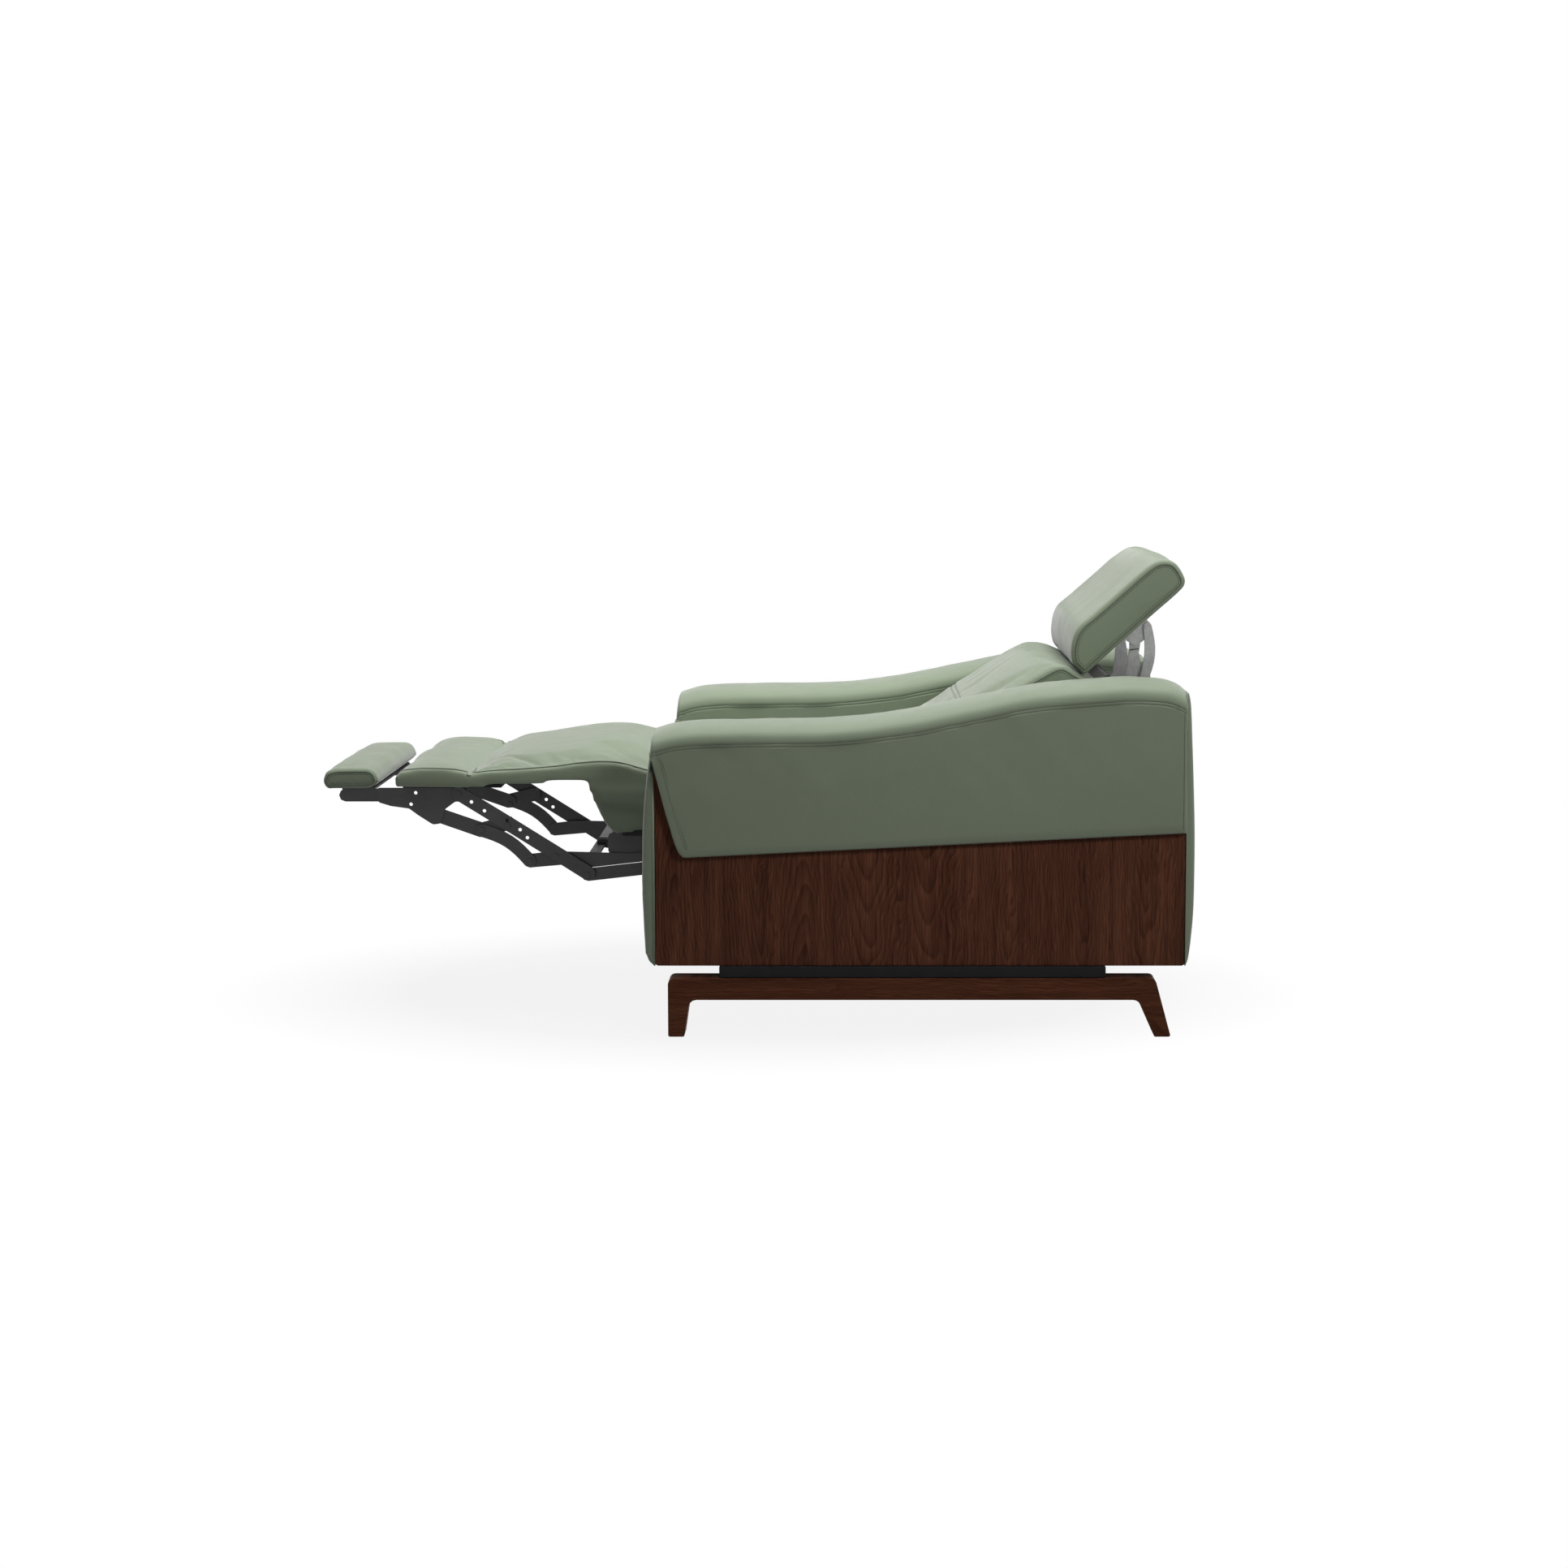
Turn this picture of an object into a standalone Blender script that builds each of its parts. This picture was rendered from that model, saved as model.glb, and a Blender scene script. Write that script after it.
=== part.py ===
"""Power recliner: wood-sided armchair with a lifting leg rest, a gliding seat, a reclining back and a
folding headrest. Metres, +Z up, the sitter faces -Y and the sitter's left is +X. The pose is the
open one: leg rest out, back reclined, headrest raised."""

import math

import bmesh
import bpy
from mathutils import Matrix, Vector

# Driving dimensions
OVERALL_WIDTH = 0.980
BODY_DEPTH = 0.950
SHELL_BULGE = 0.0165
FOOT_REACH = 0.630
BASE_HEIGHT = 0.1266
PLINTH_HEIGHT = 0.0204
ARM_WIDTH = 0.180
CREST_FRONT_HEIGHT = 0.564
CREST_REAR_HEIGHT = 0.6404
CUSHION_SIDE_CLEAR = 0.013
FOOT_PAD_SIDE_INSET = 0.047
MECHANISM_SIDE_CLEAR = 0.080
GAP = 0.0003
OVERRUN = 0.002

# Datums that follow from them
HALF_WIDTH = OVERALL_WIDTH / 2
HALF_LENGTH = (FOOT_REACH + BODY_DEPTH + SHELL_BULGE) / 2
PANEL_FRONT = FOOT_REACH - HALF_LENGTH
PANEL_REAR = PANEL_FRONT + BODY_DEPTH
ARM_INNER = HALF_WIDTH - ARM_WIDTH
HALF_CUSHION = ARM_INNER - CUSHION_SIDE_CLEAR
HALF_FOOT_PAD = HALF_CUSHION - FOOT_PAD_SIDE_INSET
HALF_MECHANISM = ARM_INNER - MECHANISM_SIDE_CLEAR

# Leg rest: the hinge is the virtual centre that the linkage turns the leg rest about
LEG_HINGE_AHEAD = 0.1536
LEG_HINGE_HEIGHT = 0.4352
LEG_HINGE = (PANEL_FRONT - LEG_HINGE_AHEAD, LEG_HINGE_HEIGHT)

# Backrest: pivot, slope, and the radius that its lower end keeps inside
BACK_PIVOT_AHEAD = 0.4723
BACK_PIVOT_BELOW = 0.0502
BACK_PIVOT = (PANEL_REAR - BACK_PIVOT_AHEAD, LEG_HINGE_HEIGHT - BACK_PIVOT_BELOW)
BACK_SLOPE = math.radians(33.2)
BACK_CLEAR_RADIUS = 0.126
BACK_PIN_RADIUS = 0.006

# How meshes are made
UP = (0.0, 1.0)
MERGE_DISTANCE = 0.000002
CURVE_STEPS = 8
SIDE_DRAW = 0.004
PAD_STATION_SHARES = (-1, -0.74, -0.4, 0, 0.4, 0.74, 1)
EDGE_ROUND_SHARES = ((0.3, 0.29), (0.0, 1.0))
PIVOTS = {}

# Colours: red, green, blue, then roughness and metallic
LEATHER = ("sage_leather", (0.27, 0.34, 0.25), 0.5, 0.0)
WOOD = ("dark_wood", (0.085, 0.028, 0.017), 0.35, 0.0)
BLACK_PAINT = ("black_paint", (0.012, 0.012, 0.014), 0.5, 0.0)
LINK_STEEL = ("charcoal_steel", (0.03, 0.03, 0.032), 0.45, 0.6)
GREY_STEEL = ("light_grey_steel", (0.25, 0.25, 0.26), 0.4, 0.7)
SILVER_STEEL = ("silver_steel", (0.42, 0.42, 0.45), 0.35, 0.8)
PLYWOOD = ("plywood", (0.45, 0.33, 0.2), 0.6, 0.0)
LINING = ("dark_lining", (0.03, 0.03, 0.033), 0.9, 0.0)
PLASTIC = ("black_plastic", (0.015, 0.015, 0.016), 0.4, 0.0)
BUTTON = ("button_plastic", (0.35, 0.35, 0.36), 0.35, 0.0)


def clear_scene():
    for obj in list(bpy.data.objects):
        bpy.data.objects.remove(obj, do_unlink=True)


def paint(finish):
    name, colour, roughness, metallic = finish
    found = bpy.data.materials.get(name)
    if found:
        return found
    made = bpy.data.materials.new(name)
    made.use_nodes = True
    shader = made.node_tree.nodes["Principled BSDF"]
    shader.inputs["Base Color"].default_value = (*colour, 1.0)
    shader.inputs["Roughness"].default_value = roughness
    shader.inputs["Metallic"].default_value = metallic
    made.diffuse_color = (*colour, 1.0)
    return made


def turned(vector, angle):
    """A (y, z) vector turned about +X, from +Y towards +Z."""
    y, z = vector
    return (
        y * math.cos(angle) - z * math.sin(angle),
        y * math.sin(angle) + z * math.cos(angle),
    )


def plus(a, b, share=1.0):
    return (a[0] + b[0] * share, a[1] + b[1] * share)


def minus(a, b):
    return (a[0] - b[0], a[1] - b[1])


def on_back(along, ahead):
    """A point of the backrest: along its slope from the pivot, and ahead of it towards the sitter."""
    return plus(BACK_PIVOT, turned((along, ahead), BACK_SLOPE))


def smooth(points, steps=4):
    """A Catmull-Rom curve through points of any dimension."""
    last = len(points) - 1
    out = []
    for i in range(last):
        ends = [points[min(max(i + k, 0), last)] for k in (-1, 0, 1, 2)]
        for j in range(steps):
            t = j / steps
            out.append(
                tuple(
                    0.5
                    * (
                        2 * b
                        + (c - a) * t
                        + (2 * a - 5 * b + 4 * c - d) * t * t
                        + (3 * b - a - 3 * c + d) * t * t * t
                    )
                    for a, b, c, d in zip(*ends)
                )
            )
    out.append(tuple(points[-1]))
    return out


def reading(table, share):
    """The value at a share, read from a table of (share, value) rows with smooth steps between."""
    if share <= table[0][0]:
        return table[0][1]
    for (a, low), (b, high) in zip(table, table[1:]):
        if share <= b:
            return low + (high - low) * (share - a) / (b - a)
    return table[-1][1]


def rounded(corners, steps=2):
    """A closed outline from (point, radius) corners, each rounded by an arc."""
    out = []
    count = len(corners)
    for i, (point, radius) in enumerate(corners):
        here = Vector(point)
        back = (Vector(corners[i - 1][0]) - here).normalized()
        ahead = (Vector(corners[(i + 1) % count][0]) - here).normalized()
        half = back.angle(ahead) / 2
        if radius <= 0 or math.pi / 2 - half < 0.02:
            out.append(tuple(here))
            continue
        reach = radius / math.tan(half)
        start = here + back * reach
        end = here + ahead * reach
        centre = here + (back + ahead).normalized() * (radius / math.sin(half))
        first = start - centre
        sweep = math.pi - 2 * half
        if first.x * (end - centre).y - first.y * (end - centre).x < 0:
            sweep = -sweep
        for j in range(steps + 1):
            out.append(plus(centre, turned(first, sweep * j / steps)))
    return out


def circle(centre, radius, steps=8):
    return [
        plus(centre, turned((radius, 0.0), 2 * math.pi * i / steps))
        for i in range(steps)
    ]


def hole(centre, radius, steps=8):
    """The outline of a hole that a round pin of a radius turns in, with the gap all round it."""
    return circle(centre, (radius + GAP) / math.cos(math.pi / steps), steps)


def across(run):
    """The unit vector square to a (y, z) run, to its left."""
    length = math.hypot(*run)
    return (-run[1] / length, run[0] / length)


def bowed(start, end, bow):
    """Points along an arc between two points, and the share of its bow that each has."""
    run = minus(end, start)
    out = []
    for i in range(CURVE_STEPS + 1):
        share = i / CURVE_STEPS
        fullness = math.sin(math.pi * share)
        out.append((plus(plus(start, run, share), across(run), bow * fullness), fullness))
    return out


def band(points, width, steps=4):
    """The outline of a strap along a line, with round ends. It has one width, or one at each point."""
    count = len(points)
    halves = [w / 2 for w in width] if isinstance(width, list) else [width / 2] * count
    headings = []
    for i in range(count):
        a = Vector(points[max(i - 1, 0)])
        b = Vector(points[min(i + 1, count - 1)])
        headings.append((b - a).normalized())
    left = [plus(p, (-h.y, h.x), half) for p, h, half in zip(points, headings, halves)]
    right = [plus(p, (h.y, -h.x), half) for p, h, half in zip(points, headings, halves)]
    far = [
        plus(points[-1], turned(minus(left[-1], points[-1]), -math.pi * j / steps))
        for j in range(1, steps)
    ]
    near = [
        plus(points[0], turned(minus(right[0], points[0]), -math.pi * j / steps))
        for j in range(1, steps)
    ]
    return left + far + right[::-1] + near


def outward(bm):
    """The same closed mesh with all its faces pointing out."""
    bmesh.ops.recalc_face_normals(bm, faces=bm.faces[:])
    if bm.calc_volume(signed=True) < 0:
        bmesh.ops.reverse_faces(bm, faces=bm.faces[:])
    return bm


def plate(outline, middle, thickness, holes=()):
    """A closed mesh: an outline in the YZ plane with holes, extruded along X about a middle plane."""
    bm = bmesh.new()
    edges = []
    for loop in (outline, *holes):
        verts = [bm.verts.new((middle - thickness / 2, y, z)) for y, z in loop]
        for i, vert in enumerate(verts):
            edges.append(bm.edges.new((verts[i - 1], vert)))
    bmesh.ops.triangle_fill(bm, edges=edges, use_beauty=True, use_dissolve=False)
    made = bmesh.ops.extrude_face_region(bm, geom=bm.faces[:])
    moved = [v for v in made["geom"] if isinstance(v, bmesh.types.BMVert)]
    bmesh.ops.translate(bm, verts=moved, vec=(thickness, 0, 0))
    return outward(bm)


def rod(start, end, radius, steps=10):
    """A closed round bar between two points."""
    bm = bmesh.new()
    start, end = Vector(start), Vector(end)
    line = end - start
    turn = line.to_track_quat("Z", "Y").to_matrix().to_4x4()
    bmesh.ops.create_cone(
        bm,
        cap_ends=True,
        segments=steps,
        radius1=radius,
        radius2=radius,
        depth=line.length,
        matrix=Matrix.Translation((start + end) / 2) @ turn,
    )
    return bm


def pin(centre, start, end, radius, steps=8):
    """A round bar along X through a (y, z) centre."""
    return loft([[(x, *point) for point in circle(centre, radius, steps)] for x in (start, end)])


def stepped_pin(centre, profile):
    """A turned pin along X through a (y, z) centre, from its (x, radius) profile."""
    return loft(
        [[(x, *point) for point in circle(centre, radius)] for x, radius in profile]
    )


def block(low, high, bevel=0.0):
    """A box between two corners, with its edges rounded where a bevel is given."""
    bm = bmesh.new()
    size = [b - a for a, b in zip(low, high)]
    middle = [(a + b) / 2 for a, b in zip(low, high)]
    fit = Matrix.Translation(middle) @ Matrix.Diagonal((*size, 1.0))
    bmesh.ops.create_cube(bm, size=1.0, matrix=fit)
    if bevel:
        bmesh.ops.bevel(
            bm, geom=bm.edges[:], offset=bevel, segments=1, affect="EDGES", profile=0.5
        )
    return bm


def loft(sections):
    """A closed skin through sections with the same number of points, capped at both ends."""
    bm = bmesh.new()
    rings = [[bm.verts.new(point) for point in section] for section in sections]
    for first, second in zip(rings, rings[1:]):
        for i in range(len(first)):
            bm.faces.new((first[i - 1], first[i], second[i], second[i - 1]))
    bm.faces.new(rings[0][::-1])
    bm.faces.new(rings[-1])
    return outward(bm)


def pad_stations(half_width, edge):
    """Places across a cushion, each with how far in its outline is there."""
    sides = [(half_width - edge * place, edge * inset) for place, inset in EDGE_ROUND_SHARES]
    left = [(-x, inset) for x, inset in sides[::-1]]
    return left + [((half_width - edge) * share, 0.0) for share in PAD_STATION_SHARES] + sides


def padded(loop, half_width, crown, heading, edge):
    """A cushion: a (y, z, crown share) loop carried across X. Its middle rises by the crown along
    the heading, its edges round off by the edge size, and its sides pull in between the corners."""
    count = len(loop)
    ys = [p[0] for p in loop]
    low, high = min(ys), max(ys)
    normals = []
    for i in range(count):
        a, b = loop[i - 1], loop[(i + 1) % count]
        run = Vector((b[0] - a[0], b[1] - a[1])).normalized()
        normals.append((run.y, -run.x))
    area = sum(
        loop[i - 1][0] * loop[i][1] - loop[i][0] * loop[i - 1][1] for i in range(count)
    )
    if area < 0:
        normals = [(-n[0], -n[1]) for n in normals]
    sections = []
    for x, inset in pad_stations(half_width, edge):
        lift = crown * (1 - abs(x / half_width) ** 2.4)
        section = []
        for (y, z, rise), normal in zip(loop, normals):
            along = (y - low) / (high - low)
            drawn = 1 - SIDE_DRAW / half_width * math.sin(math.pi * along)
            y, z = plus(plus((y, z), heading, lift * rise), normal, -inset)
            section.append((x * drawn, y, z))
        sections.append(section)
    return loft(sections)


def helper(name, bm):
    mesh = bpy.data.meshes.new(name)
    bm.to_mesh(mesh)
    bm.free()
    obj = bpy.data.objects.new(name, mesh)
    bpy.context.scene.collection.objects.link(obj)
    return obj


def combined(base, others, operation="UNION"):
    """One closed mesh from a base and other meshes, joined or cut by exact Booleans."""
    for bm in (base, *others):
        bmesh.ops.triangulate(bm, faces=bm.faces[:])
    body = helper("body", base)
    tools = [helper("tool", bm) for bm in others]
    for tool in tools:
        step = body.modifiers.new("step", "BOOLEAN")
        step.operation = operation
        step.solver = "EXACT"
        step.object = tool
    bpy.context.view_layer.update()
    graph = bpy.context.evaluated_depsgraph_get()
    bm = bmesh.new()
    bm.from_object(body, graph)
    for obj in (body, *tools):
        bpy.data.objects.remove(obj, do_unlink=True)
    bmesh.ops.remove_doubles(bm, verts=bm.verts[:], dist=MERGE_DISTANCE)
    slits = [edge for edge in bm.edges if edge.is_boundary]
    bmesh.ops.holes_fill(bm, edges=slits, sides=0)
    bmesh.ops.dissolve_degenerate(bm, dist=MERGE_DISTANCE, edges=slits)
    return outward(bm)


def body_empty(body):
    """The empty that carries a body's pieces. It sits on the body's joint axis."""
    name = body + "_axis"
    found = bpy.data.objects.get(name)
    if found:
        return found
    empty = bpy.data.objects.new(name, None)
    empty.location = PIVOTS.get(body, (0, 0, 0))
    bpy.context.scene.collection.objects.link(empty)
    return empty


def add(name, bm, finish, body, smooth_angle=35):
    """Makes the named sub-part of a body from a mesh in world coordinates."""
    empty = body_empty(body)
    bmesh.ops.translate(bm, verts=bm.verts[:], vec=-Vector(empty.location))
    mesh = bpy.data.meshes.new(name)
    bm.to_mesh(mesh)
    bm.free()
    mesh.materials.append(paint(finish))
    mesh.shade_smooth()
    mesh.set_sharp_from_angle(angle=math.radians(smooth_angle))
    obj = bpy.data.objects.new(name, mesh)
    obj.parent = empty
    bpy.context.scene.collection.objects.link(obj)
    return obj


def on_side(side, make):
    """A mesh made for +X, mirrored to -X for the right side."""
    bm = make()
    if side < 0:
        bmesh.ops.scale(bm, verts=bm.verts[:], vec=(-1, 1, 1))
        bm.normal_update()
        outward(bm)
    return bm


SIDES = (("left", 1), ("right", -1))

# Base: leg frames, plinths, crossbars
LEG_WIDTH = 0.058
LEG_FRONT_INSET = 0.0229
LEG_REAR_INSET = 0.0248
LEG_RAIL_DEPTH = 0.0386
FRONT_FOOT = 0.029
REAR_FOOT = 0.0294
FRONT_LEG_TAPER = 0.0098
REAR_RAKE_OUTSIDE = 0.0287
REAR_RAKE_INSIDE = 0.0297
LEG_TOP_RADIUS = 0.010
LEG_INNER_RADIUS = 0.014
FOOT_RADIUS = 0.003
PLINTH_WIDTH = 0.050
PLINTH_SIDE_INSET = 0.005
PLINTH_FRONT_INSET = 0.1148
PLINTH_REAR_INSET = 0.142
SMALL_BEVEL = 0.001
CROSSBAR_DEPTH = 0.040
CROSSBAR_FRONT_SHARE = 0.39
CROSSBAR_REAR_SHARE = 0.80
PLINTH_TOP = BASE_HEIGHT - GAP
RAIL_TOP = PLINTH_TOP - PLINTH_HEIGHT - GAP


def make_base():
    front = PANEL_FRONT + LEG_FRONT_INSET
    rear = PANEL_REAR - LEG_REAR_INSET
    under = RAIL_TOP - LEG_RAIL_DEPTH
    outline = rounded(
        [
            ((front, 0.0), FOOT_RADIUS),
            ((front, RAIL_TOP), LEG_TOP_RADIUS),
            ((rear - REAR_RAKE_OUTSIDE, RAIL_TOP), LEG_TOP_RADIUS),
            ((rear, 0.0), FOOT_RADIUS),
            ((rear - REAR_FOOT, 0.0), FOOT_RADIUS),
            ((rear - REAR_FOOT - REAR_RAKE_INSIDE, under), LEG_INNER_RADIUS),
            ((front + FRONT_FOOT + FRONT_LEG_TAPER, under), LEG_INNER_RADIUS),
            ((front + FRONT_FOOT, 0.0), FOOT_RADIUS),
        ],
        3,
    )
    plinth_outer = HALF_WIDTH - PLINTH_SIDE_INSET
    plinth_inner = plinth_outer - PLINTH_WIDTH
    plinth_low = PLINTH_TOP - PLINTH_HEIGHT
    for word, side in SIDES:
        add(
            "leg_frame_" + word,
            plate(outline, side * (HALF_WIDTH - LEG_WIDTH / 2), LEG_WIDTH),
            WOOD,
            "base",
        )
        add(
            "plinth_" + word,
            on_side(
                side,
                lambda: block(
                    (plinth_inner, PANEL_FRONT + PLINTH_FRONT_INSET, plinth_low),
                    (plinth_outer, PANEL_REAR - PLINTH_REAR_INSET, PLINTH_TOP),
                    SMALL_BEVEL,
                ),
            ),
            BLACK_PAINT,
            "base",
        )
    for word, share in (("front", CROSSBAR_FRONT_SHARE), ("rear", CROSSBAR_REAR_SHARE)):
        middle = PANEL_FRONT + BODY_DEPTH * share
        reach = plinth_inner - GAP
        add(
            "base_crossbar_" + word,
            block(
                (-reach, middle - CROSSBAR_DEPTH / 2, plinth_low),
                (reach, middle + CROSSBAR_DEPTH / 2, PLINTH_TOP),
                SMALL_BEVEL,
            ),
            BLACK_PAINT,
            "base",
        )


# Side panels, arms, borders and shell
PANEL_THICKNESS = 0.020
PANEL_OUTER_INSET = 0.014
PANEL_TOP = 0.500
PANEL_CORNER = 0.005
ARM_NOSE = 0.0078
FLAP_FRONT_TOP = 0.507
FLAP_CORNER_HEIGHT = 0.3232
FLAP_CORNER_SET_BACK = 0.0547
FLAP_REAR_HEIGHT = 0.3673
SHOULDER_DROP = 0.036
BORDER_TOP = 0.4958
CREST_SHARES = (
    (0.0, -0.445), (0.004, -0.25), (0.016, -0.187), (0.046, -0.09), (0.10, -0.022), (0.17, 0.0),
    (0.237, 0.0), (0.305, 0.017), (0.357, 0.051), (0.407, 0.107), (0.479, 0.226), (0.553, 0.408),
    (0.637, 0.63), (0.70, 0.789), (0.77, 0.895), (0.84, 0.966), (0.889, 1.0), (0.932, 0.985),
    (0.962, 0.950), (0.984, 0.86), (1.0, 0.74),
)
FLAP_FRONT_SHARES = ((0.0, 1.0), (0.15, 0.82), (0.51, 0.365), (0.79, 0.062), (1.0, 0.0))
ARM_TOP_STEPS = 10
ARM_STATION_SHARES = (0.0, 0.20, 0.40, 0.62, 0.84, 1.0)
ARM_BODY_SHARES = (
    0.06, 0.12, 0.2, 0.28, 0.35, 0.42, 0.5, 0.58, 0.66, 0.74, 0.82, 0.88, 0.93, 0.97, 1.0,
)


def panel_outer():
    return HALF_WIDTH - PANEL_OUTER_INSET


def crest_height(y):
    front = PANEL_FRONT - ARM_NOSE
    share = (y - front) / (PANEL_REAR - front)
    rise = reading(CREST_SHARES, share)
    return CREST_FRONT_HEIGHT + rise * (CREST_REAR_HEIGHT - CREST_FRONT_HEIGHT)


def flap_bottom(y):
    front = PANEL_FRONT - ARM_NOSE
    corner = PANEL_FRONT + FLAP_CORNER_SET_BACK
    if y < corner:
        share = reading(FLAP_FRONT_SHARES, (y - front) / (corner - front))
        return FLAP_CORNER_HEIGHT + share * (FLAP_FRONT_TOP - FLAP_CORNER_HEIGHT)
    share = (y - corner) / (PANEL_REAR - corner)
    return FLAP_CORNER_HEIGHT + share * (FLAP_REAR_HEIGHT - FLAP_CORNER_HEIGHT)


def arm_section(y, inner_bottom, slot_inner):
    """The arm across X at one place along it: a saddle over the top of the side panel."""
    crest = crest_height(y)
    shoulder = crest - SHOULDER_DROP
    half = ARM_WIDTH / 2
    middle = HALF_WIDTH - half
    bottom = flap_bottom(y)
    slot_top = max(PANEL_TOP + GAP, bottom + OVERRUN)
    slot_outer = panel_outer() + GAP
    points = [(slot_outer, bottom), (HALF_WIDTH, bottom)]
    for i in range(ARM_TOP_STEPS + 1):
        angle = math.pi * i / ARM_TOP_STEPS
        wide = math.copysign(abs(math.cos(angle)) ** 0.8, math.cos(angle))
        tall = math.sin(angle) ** 0.8
        points.append((middle + half * wide, shoulder + SHOULDER_DROP * tall))
    points += [(ARM_INNER, inner_bottom), (slot_inner, inner_bottom)]
    points += [(slot_inner, slot_top), (slot_outer, slot_top)]
    return [(x, y, z) for x, z in points]


def arm_mesh():
    front = PANEL_FRONT - ARM_NOSE
    step = PANEL_FRONT
    corner = PANEL_FRONT + FLAP_CORNER_SET_BACK
    above_border = BORDER_TOP + GAP
    slit = panel_outer() - GAP
    inner = panel_outer() - PANEL_THICKNESS - GAP
    sections = [
        arm_section(front, above_border, slit),
        arm_section((front + step) / 2, above_border, slit),
        arm_section(step - 2 * GAP, above_border, slit),
        arm_section(step - GAP, above_border, inner),
    ]
    for share in ARM_STATION_SHARES:
        sections.append(arm_section(step + (corner - step) * share, PLINTH_TOP + GAP, inner))
    for share in ARM_BODY_SHARES:
        sections.append(
            arm_section(corner + (PANEL_REAR - corner) * share, PLINTH_TOP + GAP, inner)
        )
    return loft(sections)


BORDER_PROFILE_SHARES = (
    (0.38, 1.0), (0.62, 0.895), (0.84, 0.76), (0.955, 0.585), (1.0, 0.438), (0.98, 0.318),
    (0.80, 0.079), (0.70, 0.052), (0.47, 0.020), (0.14, 0.005), (0.0, 0.0),
)
BORDER_BULGE = 0.0209
BORDER_SIDE_SHARES = ((0.0, 0.8), (0.03, 0.95), (0.07, 1.0), (0.93, 1.0), (0.97, 0.95), (1.0, 0.8))
BORDER_PROUD = 0.002


def border_mesh():
    """The padded front of an arm: a bowed profile, its two upright edges rounded."""
    face = PANEL_FRONT - GAP
    outer = panel_outer()
    bottom = PLINTH_TOP + GAP
    profile = smooth(BORDER_PROFILE_SHARES, 2)
    sections = []
    for share, fullness in BORDER_SIDE_SHARES:
        x = ARM_INNER + (outer - ARM_INNER) * share
        section = [(x, face, BORDER_TOP)]
        for ahead, up in profile[:-1]:
            z = bottom + (BORDER_TOP - bottom) * up
            section.append((x, face - BORDER_BULGE * ahead * fullness - OVERRUN, z))
        section.append((x, face, bottom))
        sections.append(section)
    return loft(sections)


SHELL_PROFILE_SHARES = (
    (0.10, 0.0), (0.42, 0.028), (0.70, 0.10), (0.93, 0.20), (1.0, 0.33), (0.98, 0.50),
    (0.80, 0.68), (0.62, 0.82), (0.47, 0.93), (0.34, 0.975), (0.15, 1.0),
)
SHELL_TOP_MIDDLE = 0.580
SHELL_TOP_SIDE = 0.617
SHELL_SIDE_STEP = 0.012
SHELL_PADDING = 0.0138
INLET_HEIGHT = 0.175
INLET_WIDTH = 0.030
INLET_TALL = 0.022


def shell_section(x, top, face):
    rear_face = PANEL_REAR + GAP
    bottom = PLINTH_TOP + GAP
    section = [(x, face, bottom)]
    for behind, up in SHELL_PROFILE_SHARES:
        z = bottom + (top - bottom) * up
        section.append((x, rear_face + (SHELL_BULGE - GAP) * behind, z))
    section.append((x, face, top))
    return section


def make_body():
    corners = rounded(
        [
            ((PANEL_FRONT, BASE_HEIGHT), PANEL_CORNER),
            ((PANEL_REAR, BASE_HEIGHT), PANEL_CORNER),
            ((PANEL_REAR, PANEL_TOP), PANEL_CORNER),
            ((PANEL_FRONT, PANEL_TOP), PANEL_CORNER),
        ],
        2,
    )
    for word, side in SIDES:
        add(
            "side_panel_" + word,
            plate(corners, side * (panel_outer() - PANEL_THICKNESS / 2), PANEL_THICKNESS),
            WOOD,
            "base",
        )
        arm = on_side(side, arm_mesh)
        if side < 0:
            arm = combined(arm, [control_pocket()], "DIFFERENCE")
        add("arm_" + word, arm, LEATHER, "base")
        add("front_border_" + word, on_side(side, border_mesh), LEATHER, "base")
    outer = panel_outer() + BORDER_PROUD
    between = ARM_INNER - SHELL_SIDE_STEP
    face_side = PANEL_REAR + GAP
    face_middle = face_side - SHELL_PADDING
    half = (
        (outer, SHELL_TOP_SIDE, face_side),
        (ARM_INNER - GAP, SHELL_TOP_SIDE, face_side),
        (ARM_INNER - 2 * GAP, SHELL_TOP_SIDE, face_middle),
        (between, SHELL_TOP_MIDDLE, face_middle),
        (between / 2, SHELL_TOP_MIDDLE, face_middle),
    )
    stations = [(-x, top, face) for x, top, face in half]
    stations += [(x, top, face) for x, top, face in half[::-1]]
    shell = loft([shell_section(*station) for station in stations])
    inlet = block(
        (-INLET_WIDTH / 2, face_middle - OVERRUN, INLET_HEIGHT - INLET_TALL / 2),
        (INLET_WIDTH / 2, PANEL_REAR + SHELL_BULGE + OVERRUN, INLET_HEIGHT + INLET_TALL / 2),
    )
    add("rear_shell", combined(shell, [inlet], "DIFFERENCE"), LEATHER, "base")


# Controls on the outside of the right arm
CONTROL_BEHIND = 0.110
CONTROL_HEIGHT = 0.470
CONTROL_LENGTH = 0.110
CONTROL_TALL = 0.034
POCKET_DEPTH = 0.008
CONTROL_PLATE_THICKNESS = 0.0025
CONTROL_PLATE_RECESS = 0.0025
BUTTON_RADIUS = 0.0075
BUTTON_PITCH = 0.024
BUTTON_TALL = 0.0045
BUTTON_RECESS = 0.0008
BUTTON_NAMES = ("leg_rest_out", "leg_rest_in", "back_down", "back_up")


def control_middle():
    return (PANEL_FRONT + CONTROL_BEHIND, CONTROL_HEIGHT)


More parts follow.
